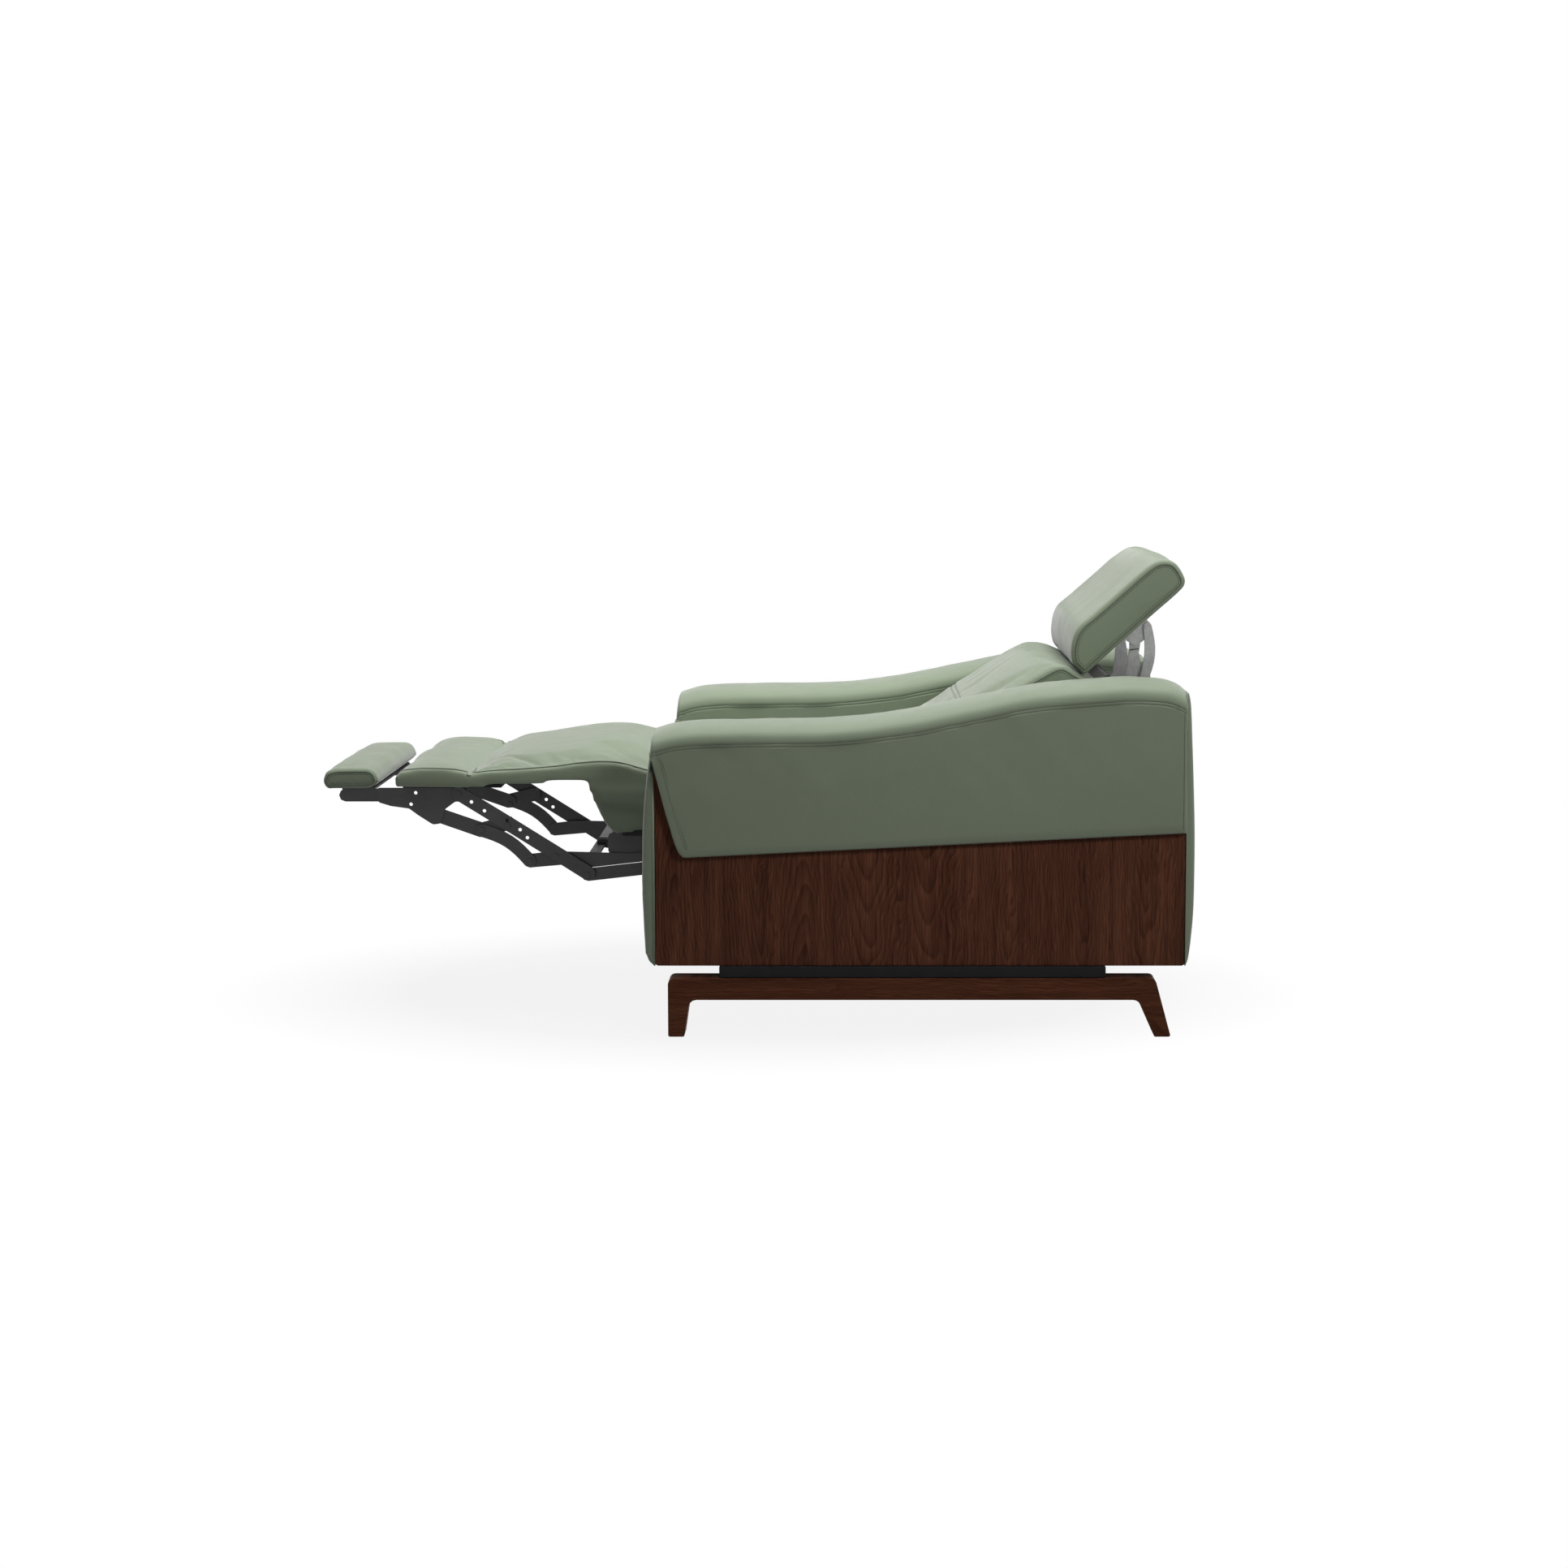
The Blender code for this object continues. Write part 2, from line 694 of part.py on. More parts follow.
def control_outline(margin):
    y, z = control_middle()
    long, tall = CONTROL_LENGTH / 2 + margin, CONTROL_TALL / 2 + margin
    radius = tall / 2
    return rounded(
        [
            ((y - long, z - tall), radius),
            ((y + long, z - tall), radius),
            ((y + long, z + tall), radius),
            ((y - long, z + tall), radius),
        ]
    )


def control_pocket():
    deep = POCKET_DEPTH + OVERRUN
    return plate(control_outline(0.0), -(HALF_WIDTH + OVERRUN - deep / 2), deep)


def make_controls():
    y, z = control_middle()
    outer = HALF_WIDTH - CONTROL_PLATE_RECESS
    half_row = (len(BUTTON_NAMES) - 1) / 2
    places = [
        (y + (i - half_row) * BUTTON_PITCH, z) for i in range(len(BUTTON_NAMES))
    ]
    holes = [circle(place, BUTTON_RADIUS + GAP, 12) for place in places]
    add(
        "control_plate",
        plate(
            control_outline(-GAP),
            -(outer - CONTROL_PLATE_THICKNESS / 2),
            CONTROL_PLATE_THICKNESS,
            holes,
        ),
        PLASTIC,
        "base",
    )
    for name, place in zip(BUTTON_NAMES, places):
        body = "button_" + name
        face = HALF_WIDTH - BUTTON_RECESS
        PIVOTS[body] = (-face, *place)
        button = pin(place, -face, -(face - BUTTON_TALL), BUTTON_RADIUS, 12)
        add(body, button, BUTTON, body)


# Power supply, with its inlet in the rear shell
SUPPLY_WIDTH = 0.160
SUPPLY_DEPTH = 0.060
SUPPLY_TALL = 0.045
SUPPLY_LIFT = 0.030
SOCKET_WALL = 0.004
SOCKET_DEEP = 0.010


def make_supply():
    rear = PANEL_REAR + GAP - SHELL_PADDING - GAP
    low = INLET_HEIGHT - SUPPLY_TALL / 2
    housing = block(
        (-SUPPLY_WIDTH / 2, rear - SUPPLY_DEPTH, low),
        (SUPPLY_WIDTH / 2, rear, low + SUPPLY_TALL),
        SMALL_BEVEL,
    )
    out = PANEL_REAR + SHELL_BULGE / 2
    half, tall = INLET_WIDTH / 2 - GAP, INLET_TALL / 2 - GAP
    boss = block(
        (-half, rear - SOCKET_DEEP, INLET_HEIGHT - tall), (half, out, INLET_HEIGHT + tall)
    )
    half, tall = half - SOCKET_WALL, tall - SOCKET_WALL
    socket = block(
        (-half, out - SOCKET_DEEP, INLET_HEIGHT - tall),
        (half, out + OVERRUN, INLET_HEIGHT + tall),
    )
    made = combined(combined(housing, [boss]), [socket], "DIFFERENCE")
    add("power_supply", made, PLASTIC, "base")


# Mechanism: layers of flat bar counted outwards from the middle layer
STRAP = 0.0032
LAYER_PITCH = 0.004
PIN_RADIUS = 0.004
HEAD_RADIUS = 0.0062
HEAD_THICKNESS = 0.0015
COLLAR_RADIUS = 0.0068
LONG_LAYER, CURVED_LAYER, CORE_LAYER, INNER_LAYER, FOOT_LAYER = 1, 0, -1, -2, -3.4
MECHANISM_PLANE = HALF_MECHANISM + LAYER_PITCH


def layer_x(layer):
    return MECHANISM_PLANE + layer * LAYER_PITCH


def pivot_hole(centre):
    return hole(centre, PIN_RADIUS)


def rivet(centre, home, away):
    """A stepped pin from the strap that carries it, through the strap of another layer."""
    out = 1 if away > home else -1
    start = layer_x(home)
    near = layer_x(away) - out * (STRAP / 2 + GAP)
    far = layer_x(away) + out * (STRAP / 2 + GAP)
    end = far + out * HEAD_THICKNESS
    profile = [(start, PIN_RADIUS), (far, PIN_RADIUS), (far, HEAD_RADIUS), (end, HEAD_RADIUS)]
    if abs(away - home) > 1:
        profile[:1] = [(start, COLLAR_RADIUS), (near, COLLAR_RADIUS), (near, PIN_RADIUS)]
    return [stepped_pin(centre, profile)]


# Pivots of the leg-rest linkage, from its hinge. The links that carry it are parallelograms
PAD_PIVOT_FROM_HINGE = (-0.2271, -0.0259)
FRONT_PIVOT_FROM_HINGE = (-0.2761, -0.0419)
FOOT_PIVOT_FROM_HINGE = (-0.3240, -0.0302)
LONG_LINK_RUN = (0.1801, -0.1175)
DRIVE_TIP_RUN = (-0.0486, -0.0091)
CROSS_PIVOT_SHARE = 0.505
REAR_PIVOT_RUN = (0.0587, -0.0352)

PAD_PIVOT = plus(LEG_HINGE, PAD_PIVOT_FROM_HINGE)
FRONT_PIVOT = plus(LEG_HINGE, FRONT_PIVOT_FROM_HINGE)
FOOT_PIVOT = plus(LEG_HINGE, FOOT_PIVOT_FROM_HINGE)
DRIVE_PIVOT = plus(PAD_PIVOT, LONG_LINK_RUN)
DRIVE_TIP = plus(DRIVE_PIVOT, DRIVE_TIP_RUN)
CROSS_PIVOT = plus(PAD_PIVOT, LONG_LINK_RUN, CROSS_PIVOT_SHARE)
CROSS_TIP = plus(CROSS_PIVOT, DRIVE_TIP_RUN)
FRONT_TIP = plus(FRONT_PIVOT, minus(CROSS_PIVOT, PAD_PIVOT))
REAR_TIP = plus(DRIVE_PIVOT, REAR_PIVOT_RUN)
DRIVE_GROUND = plus(LEG_HINGE, LONG_LINK_RUN)
REAR_GROUND = plus(DRIVE_GROUND, REAR_PIVOT_RUN)

LONG_WIDTH = 0.0268
LONG_LIFTS = (0.0015, 0.0040, 0.0058, 0.0040)
DRIVE_WIDTH = 0.0245
REAR_WIDTH = 0.0240
CURVED_WIDTH = 0.0245
CURVED_BOW = 0.0095
FRONT_WIDTH = 0.0278
FRONT_BEND_RUN = (0.0113, -0.0255)
FRONT_TIP_LIFT = 0.0061
CROSS_WIDTH = 0.0270
CROSS_LIFT = 0.0040
LINK_HOLE = 0.0035
LONG_HOLE_SHARES = ((0.132, 0.03), (0.268, 0.0), (0.478, 0.31), (0.615, 0.24), (0.7055, 0.04))


def long_link(side):
    """The strap that carries the leg rest. Its middle runs a little above its pivots."""
    pivots = (PAD_PIVOT, CROSS_PIVOT, DRIVE_PIVOT, REAR_TIP)
    holes = [pivot_hole(pivot) for pivot in pivots]
    over = across(LONG_LINK_RUN)
    for along, aside in LONG_HOLE_SHARES:
        centre = plus(plus(PAD_PIVOT, LONG_LINK_RUN, along), over, aside * LONG_WIDTH)
        holes.append(circle(centre, LINK_HOLE))
    line = [plus(pivot, over, lift) for pivot, lift in zip(pivots, LONG_LIFTS)]
    return plate(band(line, LONG_WIDTH), side * layer_x(LONG_LAYER), STRAP, holes)


def curved_link(side):
    """The bowed link: an arc from the cross link's tip to the drive link's tip."""
    line = [point for point, fullness in bowed(CROSS_TIP, DRIVE_TIP, CURVED_BOW)]
    holes = [pivot_hole(CROSS_TIP), pivot_hole(DRIVE_TIP)]
    return plate(band(line, CURVED_WIDTH), side * layer_x(CURVED_LAYER), STRAP, holes)


def front_link(side):
    """The link from the ottoman plate to the cross link, cranked where the plate hides it."""
    line = [FRONT_PIVOT, plus(FRONT_PIVOT, FRONT_BEND_RUN), plus(FRONT_TIP, UP, FRONT_TIP_LIFT)]
    holes = [pivot_hole(FRONT_PIVOT), pivot_hole(FRONT_TIP)]
    return plate(band(line, FRONT_WIDTH), side * layer_x(INNER_LAYER), STRAP, holes)


def cross_link():
    middle = plus(FRONT_TIP, minus(CROSS_TIP, FRONT_TIP), 0.5)
    line = [plus(end, UP, CROSS_LIFT) for end in (middle, CROSS_PIVOT)]
    base = plate(band(line, CROSS_WIDTH), layer_x(CORE_LAYER), STRAP)
    pins = rivet(CROSS_PIVOT, CORE_LAYER, LONG_LAYER)
    pins += rivet(CROSS_TIP, CORE_LAYER, CURVED_LAYER)
    pins += rivet(FRONT_TIP, CORE_LAYER, INNER_LAYER)
    return combined(base, pins)


def rear_link():
    base = plate(band([REAR_TIP, REAR_GROUND], REAR_WIDTH), layer_x(CORE_LAYER), STRAP)
    pins = rivet(REAR_TIP, CORE_LAYER, LONG_LAYER)
    pins += rivet(REAR_GROUND, CORE_LAYER, INNER_LAYER)
    return combined(base, pins)


# The drive link of both sides, with the bar and the clevis that the actuator pushes. Its outline
# is given along and across the line between its two main pivots, with the radius of each corner
DRIVE_OUTLINE_SHARES = (
    (-0.269, 0.384, 0.45), (-0.269, -0.645, 0.45), (0.050, -0.722, 0.1), (0.248, -1.167, 0.1),
    (0.744, -1.167, 0.3), (1.056, -0.51, 0.45), (1.056, 0.52, 0.45), (0.93, 0.52, 0.3),
    (0.722, -0.46, 0.3), (0.606, -0.437, 0.1), (0.264, 0.023, 0.1), (0.071, 0.27, 0.1),
    (-0.045, 0.384, 0.1),
)
BAR_FROM_GROUND = (-0.1560, -0.0225)
BAR_WIDTH = 0.020
BAR_THICKNESS = 0.004
CLEVIS_FROM_GROUND = (-0.1086, -0.0248)
CLEVIS_RADIUS = 0.011
EAR_THICKNESS = 0.004
EYE_WIDTH = 0.0184
ACTUATOR_SPREAD = 0.075
CLEVIS_POINT = plus(DRIVE_GROUND, CLEVIS_FROM_GROUND)
BAR_POINT = plus(DRIVE_GROUND, BAR_FROM_GROUND)


def ears(outline, middle, inner_gap):
    """Two plates, one each side of an eye."""
    reach = inner_gap / 2 + EAR_THICKNESS / 2
    return [plate(outline, middle + s * reach, EAR_THICKNESS) for s in (1, -1)]


def drive_outline():
    run = minus(DRIVE_GROUND, DRIVE_PIVOT)
    corners = []
    for along, aside, bend in DRIVE_OUTLINE_SHARES:
        point = plus(plus(DRIVE_PIVOT, run, along), across(run), aside * DRIVE_WIDTH)
        corners.append((point, bend * DRIVE_WIDTH))
    return rounded(corners)


def drive_linkage():
    core = layer_x(CORE_LAYER)
    y, z = BAR_POINT
    parts = []
    for side in (1, -1):
        parts.append(on_side(side, lambda: plate(drive_outline(), core, STRAP)))
        for centre, away in (
            (DRIVE_PIVOT, LONG_LAYER),
            (DRIVE_TIP, CURVED_LAYER),
            (DRIVE_GROUND, INNER_LAYER),
        ):
            for bm in rivet(centre, CORE_LAYER, away):
                parts.append(on_side(side, lambda bm=bm: bm))
    ear = rounded(
        [
            ((y - BAR_WIDTH / 3, z - BAR_THICKNESS), 0.0),
            (plus(CLEVIS_POINT, (0.0, -CLEVIS_RADIUS)), CLEVIS_RADIUS / 2),
            (plus(CLEVIS_POINT, (CLEVIS_RADIUS, CLEVIS_RADIUS)), CLEVIS_RADIUS / 2),
            ((y - BAR_WIDTH / 3, z + BAR_WIDTH / 2), 0.0),
        ]
    )
    parts += ears(ear, ACTUATOR_SPREAD, EYE_WIDTH + 2 * GAP)
    bar = block(
        (-core, y - BAR_WIDTH / 2, z - BAR_THICKNESS / 2),
        (core, y + BAR_WIDTH / 2, z + BAR_THICKNESS / 2),
    )
    return combined(bar, parts)


# Ottoman plate, leg-rest board and pad
BOARD_THICKNESS = 0.006
BOARD_OVERLAP = 0.003
HALF_BOARD = HALF_MECHANISM + BOARD_OVERLAP
BOARD_LENGTH = 0.185
PAD_BOTTOM_DROP = 0.0085
PAD_LENGTH = 0.3386
PAD_DEPTH = 0.050
PAD_CROWN = 0.036
PAD_EDGE = 0.007
PAD_LOOP_SHARES = (
    (0.0, 0.942, 1.0), (0.056, 0.89, 1.0), (0.16, 0.805, 0.95), (0.29, 0.75, 0.80),
    (0.45, 0.660, 0.50), (0.54, 0.610, 0.25), (0.589, 0.592, 0.15), (0.63, 0.63, 0.35),
    (0.688, 0.68, 0.65), (0.78, 0.69, 0.78), (0.8625, 0.682, 0.75), (0.946, 0.614, 0.5),
    (0.985, 0.50, 0.2), (1.0, 0.342, 0.0), (0.997, 0.06, 0.0), (0.981, 0.0, 0.0),
    (0.84, 0.0, 0.0), (0.70, 0.0, 0.0), (0.5835, 0.0, 0.0), (0.483, 0.122, 0.0),
    (0.2915, 0.192, 0.0), (0.15, 0.27, 0.0), (0.0704, 0.342, 0.0), (0.0, 0.366, 0.0),
)
PAD_BOTTOM = LEG_HINGE[1] - PAD_BOTTOM_DROP
BOARD_TOP = PAD_BOTTOM - GAP
BOARD_BOTTOM = BOARD_TOP - BOARD_THICKNESS
PLATE_TOP = BOARD_BOTTOM - GAP
PLATE_REACH = 0.100
PLATE_CORNER_SHARES = (
    (0.555, 0.0, 0.04), (0.555, 0.265, 0.08), (0.30, 0.342, 0.10), (-0.04, 0.39, 0.10),
    (-0.20, 0.51, 0.10), (-0.48, 0.69, 0.08), (-0.63, 0.67, 0.06), (-0.71, 0.40, 0.06),
    (-0.90, 0.26, 0.06), (-1.13, 0.26, 0.10), (-1.13, 0.0, 0.04),
)
PLATE_HOLES_FROM_FOOT_PIVOT = ((0.0165, 0.0057), (0.0075, -0.0158))


def ottoman_plate():
    """The plate under the leg-rest board, with the pins of the long, front and foot pieces."""
    origin = (FOOT_PIVOT[0], PLATE_TOP)
    outline = rounded(
        [
            (plus(origin, (-ahead, -down), PLATE_REACH), bend * PLATE_REACH)
            for ahead, down, bend in PLATE_CORNER_SHARES
        ]
    )
    holes = [circle(plus(FOOT_PIVOT, at), LINK_HOLE) for at in PLATE_HOLES_FROM_FOOT_PIVOT]
    base = plate(outline, layer_x(CORE_LAYER), STRAP, holes)
    pins = rivet(PAD_PIVOT, CORE_LAYER, LONG_LAYER)
    pins += rivet(FRONT_PIVOT, CORE_LAYER, INNER_LAYER)
    pins += rivet(FOOT_PIVOT, CORE_LAYER, FOOT_LAYER)
    return combined(base, pins)


def share_loop(shares, origin, size):
    return [
        (origin[0] + y * size[0], origin[1] + z * size[1], crown) for y, z, crown in shares
    ]


def make_leg_rest():
    for word, side in SIDES:
        add("ottoman_plate_" + word, on_side(side, ottoman_plate), LINK_STEEL, "leg_rest")
    tip = LEG_HINGE[0] - PAD_LENGTH + PAD_EDGE
    add(
        "leg_rest_board",
        block(
            (-HALF_BOARD, tip, BOARD_BOTTOM),
            (HALF_BOARD, tip + BOARD_LENGTH, BOARD_TOP),
            SMALL_BEVEL,
        ),
        PLYWOOD,
        "leg_rest",
    )
    loop = share_loop(
        PAD_LOOP_SHARES, (LEG_HINGE[0] - GAP, PAD_BOTTOM), (-(PAD_LENGTH - GAP), PAD_DEPTH)
    )
    pad = padded(loop, HALF_CUSHION, PAD_CROWN, UP, PAD_EDGE)
    add("leg_rest_pad", pad, LEATHER, "leg_rest")


# Foot bracket and foot pad
FOOT_BAR_LENGTH = 0.116
FOOT_BAR_WIDTH = 0.024
FOOT_STRIP_DEPTH = 0.055
FOOT_STRIP_THICKNESS = 0.005
FOOT_PAD_LENGTH = 0.1020
FOOT_PAD_DEPTH = 0.0375
FOOT_PAD_CROWN = 0.004
FOOT_PAD_EDGE = 0.008
FOOT_PAD_SINK = 0.0062
FOOT_LOOP_SHARES = (
    (0.0, 0.42, 0.0), (0.033, 0.71, 0.2), (0.07, 0.83, 0.5), (0.14, 0.92, 0.8), (0.24, 0.975, 1.0),
    (0.36, 0.99, 1.0), (0.55, 1.0, 1.0), (0.71, 1.0, 1.0), (0.825, 0.98, 0.8), (0.915, 0.855, 0.5),
    (0.973, 0.625, 0.2), (1.0, 0.375, 0.0), (0.97, 0.25, 0.0), (0.91, 0.105, 0.0),
    (0.79, 0.01, 0.0), (0.60, 0.0, 0.0), (0.40, 0.0, 0.0), (0.20, 0.0, 0.0), (0.087, 0.0, 0.0),
    (0.02, 0.17, 0.0),
)


def make_foot():
    strip_top = PAD_BOTTOM - FOOT_PAD_SINK - GAP
    strip_bottom = strip_top - FOOT_STRIP_THICKNESS
    tip = -HALF_LENGTH
    bar_end = FOOT_PIVOT[0] - FOOT_BAR_LENGTH
    bar_z = strip_bottom - FOOT_BAR_WIDTH / 2 + OVERRUN
    line = [FOOT_PIVOT, (FOOT_PIVOT[0] - FOOT_BAR_LENGTH / 3, bar_z), (bar_end, bar_z)]
    outline = band(line, FOOT_BAR_WIDTH)
    x = layer_x(FOOT_LAYER)
    strip = block(
        (-x - STRAP / 2, bar_end - FOOT_BAR_WIDTH / 4, strip_bottom),
        (x + STRAP / 2, bar_end + FOOT_STRIP_DEPTH, strip_top),
    )
    bars = [plate(outline, s * x, STRAP, [pivot_hole(FOOT_PIVOT)]) for s in (1, -1)]
    add("foot_bracket", combined(strip, bars), LINK_STEEL, "foot_rest")
    loop = share_loop(
        FOOT_LOOP_SHARES, (tip, strip_top + GAP), (FOOT_PAD_LENGTH, FOOT_PAD_DEPTH)
    )
    pad = padded(loop, HALF_FOOT_PAD, FOOT_PAD_CROWN, UP, FOOT_PAD_EDGE)
    add("foot_pad", pad, LEATHER, "foot_rest")


def make_links():
    add("drive_linkage", drive_linkage(), LINK_STEEL, "drive_links")
    for word, side in SIDES:
        add("rear_link_" + word, on_side(side, rear_link), LINK_STEEL, "rear_links")
        add("long_link_" + word, long_link(side), LINK_STEEL, "long_links")
        add("curved_link_" + word, curved_link(side), LINK_STEEL, "curved_links")
        add("cross_link_" + word, on_side(side, cross_link), LINK_STEEL, "cross_links")
        add("front_link_" + word, front_link(side), LINK_STEEL, "front_links")


# Seat carriage
TUBE_RADIUS = 0.0125
TUBE_DROP = 0.0283
FRONT_TUBE_BEHIND = 0.138
MIDDLE_TUBE_AHEAD = 0.0297
MOTOR_TUBE_FROM_BACK_PIVOT = (-0.00945, -0.170)
MOTOR_MOUNT_FROM_TUBE = (-0.025, 0.010)
RECLINE_MOUNT_FROM_TUBE = (0.004, -0.0827)
EYE_RADIUS = 0.011
DECK_THICKNESS = 0.012
DECK_SIDE_INSET = 0.012
DECK_FRONT_BEHIND = 0.0809
DECK_DROP = 0.0872
SEAT_REAR_CLEAR = 0.009
SEAT_CROWN = 0.038
SEAT_EDGE = 0.007
SEAT_APRON_DROP = 0.0987
SEAT_HIGH = 0.050
EAR_RADIUS = 0.017
BEAK_REACH = 0.113
BEAK_DEPTH = 0.042
RAIL_DEPTH = 0.0122
RAIL_TALL = 0.034
RAIL_WALL = 0.003
RAIL_FRONT_BEHIND = 0.105
RAIL_LENGTH = 0.400
SHOE_CLEAR = 0.0005

DECK_TOP = LEG_HINGE[1] - DECK_DROP
DECK_BOTTOM = DECK_TOP - DECK_THICKNESS
TUBE_HEIGHT = DECK_BOTTOM - TUBE_DROP
FRONT_TUBE = (PANEL_FRONT + FRONT_TUBE_BEHIND, TUBE_HEIGHT)
MOTOR_TUBE = plus(BACK_PIVOT, MOTOR_TUBE_FROM_BACK_PIVOT)
MOTOR_MOUNT = plus(MOTOR_TUBE, MOTOR_MOUNT_FROM_TUBE)
RECLINE_MOUNT = plus(FRONT_TUBE, RECLINE_MOUNT_FROM_TUBE)
SIDE_PLATE_TOP = DECK_BOTTOM - GAP
SEAT_REAR = BACK_PIVOT[0] - BACK_CLEAR_RADIUS - SEAT_REAR_CLEAR
MIDDLE_TUBE = (SEAT_REAR - MIDDLE_TUBE_AHEAD, TUBE_HEIGHT)


def side_plate():
    """The carriage plate of one side: a nose for the link pivots and an ear for the back pivot."""
    y, z = BACK_PIVOT
    nose = DRIVE_GROUND[0] - EAR_RADIUS
    low = REAR_GROUND[1] - EAR_RADIUS
    foot = MOTOR_TUBE[1] - 2 * TUBE_RADIUS
    back = MOTOR_TUBE[0]
    beak = nose - BEAK_REACH
    corners = [
        ((nose, SIDE_PLATE_TOP - BEAK_DEPTH), EAR_RADIUS * 0.5),
        ((beak, SIDE_PLATE_TOP - BEAK_DEPTH), EAR_RADIUS * 0.5),
        ((beak, SIDE_PLATE_TOP), EAR_RADIUS * 0.5),
        ((SEAT_REAR - EAR_RADIUS, SIDE_PLATE_TOP), EAR_RADIUS * 0.3),
        ((SEAT_REAR + TUBE_RADIUS, MOTOR_TUBE[1] + 0.5 * BACK_CLEAR_RADIUS), EAR_RADIUS * 0.6),
        ((back - 3 * EAR_RADIUS, MOTOR_TUBE[1] + EAR_RADIUS), EAR_RADIUS * 0.6),
        ((y - EAR_RADIUS, MOTOR_TUBE[1] + EAR_RADIUS), EAR_RADIUS * 0.25),
        ((y - EAR_RADIUS, z + EAR_RADIUS), EAR_RADIUS * 0.98),
        ((y + EAR_RADIUS, z + EAR_RADIUS), EAR_RADIUS * 0.98),
        ((y + EAR_RADIUS, foot), EAR_RADIUS * 0.7),
        ((back - 3 * EAR_RADIUS, foot), EAR_RADIUS * 0.7),
        ((MIDDLE_TUBE[0] - EAR_RADIUS, low), EAR_RADIUS * 1.2),
        ((nose, low), EAR_RADIUS * 0.9),
    ]
    holes = [pivot_hole(DRIVE_GROUND), pivot_hole(REAR_GROUND)]
    holes.append(hole(BACK_PIVOT, BACK_PIN_RADIUS))
    for tube in (FRONT_TUBE, MIDDLE_TUBE, MOTOR_TUBE):
        holes.append(circle(tube, TUBE_RADIUS + GAP, 12))
    return plate(rounded(corners), layer_x(INNER_LAYER), STRAP, holes)


def mount_ears(tube, mount, middle):
    """Two lugs from a tube to the fixed eye of an actuator, and the pin through them."""
    outline = band([tube, mount], 2 * EYE_RADIUS)
    parts = ears(outline, middle, EYE_WIDTH + 2 * GAP)
    reach = EYE_WIDTH / 2 + EAR_THICKNESS + SMALL_BEVEL
    parts.append(pin(mount, middle - reach, middle + reach, PIN_RADIUS))
    return parts


def seat_tube(centre, extra=()):
    reach = rail_inner() + RAIL_DEPTH - RAIL_WALL - SHOE_CLEAR
    tube = pin(centre, -reach, reach, TUBE_RADIUS, 12)
    return combined(tube, list(extra)) if extra else tube


def rail_inner():
    return ARM_INNER - GAP - RAIL_DEPTH


def rail_mesh():
    """The channel on the arm's inner side that the tube ends slide in."""
    front = PANEL_FRONT + RAIL_FRONT_BEHIND
    outer = rail_inner() + RAIL_DEPTH
    low, high = TUBE_HEIGHT - RAIL_TALL / 2, TUBE_HEIGHT + RAIL_TALL / 2
    lip = TUBE_RADIUS + SHOE_CLEAR
    corners = [
        (rail_inner(), low), (outer, low), (outer, high), (rail_inner(), high),
        (rail_inner(), TUBE_HEIGHT + lip), (outer - RAIL_WALL, TUBE_HEIGHT + lip),
        (outer - RAIL_WALL, TUBE_HEIGHT - lip), (rail_inner(), TUBE_HEIGHT - lip),
    ]
    ends = (front, front + RAIL_LENGTH)
    return loft([[(x, y, z) for x, z in corners] for y in ends])


SEAT_LOOP_SHARES = (
    (0.0, 0.776, 1.0), (0.041, 0.818, 1.0), (0.09, 0.84, 1.0), (0.16, 0.788, 1.0),
    (0.257, 0.522, 1.0), (0.36, 0.28, 1.0), (0.53, 0.10, 1.0), (0.73, 0.0, 0.9),
    (0.90, -0.06, 0.6), (0.98, -0.12, 0.2), (1.0, -0.25, 0.0),
)
SEAT_APRON_SHARES = (
    (0.145, 0.0, 0.0), (0.106, 0.17, 0.0), (0.083, 0.372, 0.0), (0.063, 0.60, 0.0),
    (0.049, 0.90, 0.0), (0.034, 1.05, 0.0), (0.011, 1.09, 0.0), (0.0, 1.09, 0.0),
)


def seat_mesh():
    front = LEG_HINGE[0] + GAP
    depth = SEAT_REAR - front
    top = share_loop(SEAT_LOOP_SHARES, (front, LEG_HINGE[1]), (depth, SEAT_HIGH))
    apron = share_loop(
        SEAT_APRON_SHARES, (front, LEG_HINGE[1] - SEAT_APRON_DROP), (depth, SEAT_APRON_DROP)
    )
    above = DECK_TOP + GAP
    ledge = LEG_HINGE[0] + DECK_FRONT_BEHIND - GAP
    under = [(SEAT_REAR, above, 0.0), ((SEAT_REAR + ledge) / 2, above, 0.0)]
    under += [(ledge, above, 0.0), (ledge, LEG_HINGE[1] - SEAT_APRON_DROP, 0.0)]
    loop = top + under + apron
    return padded(loop, HALF_CUSHION, SEAT_CROWN, UP, SEAT_EDGE)


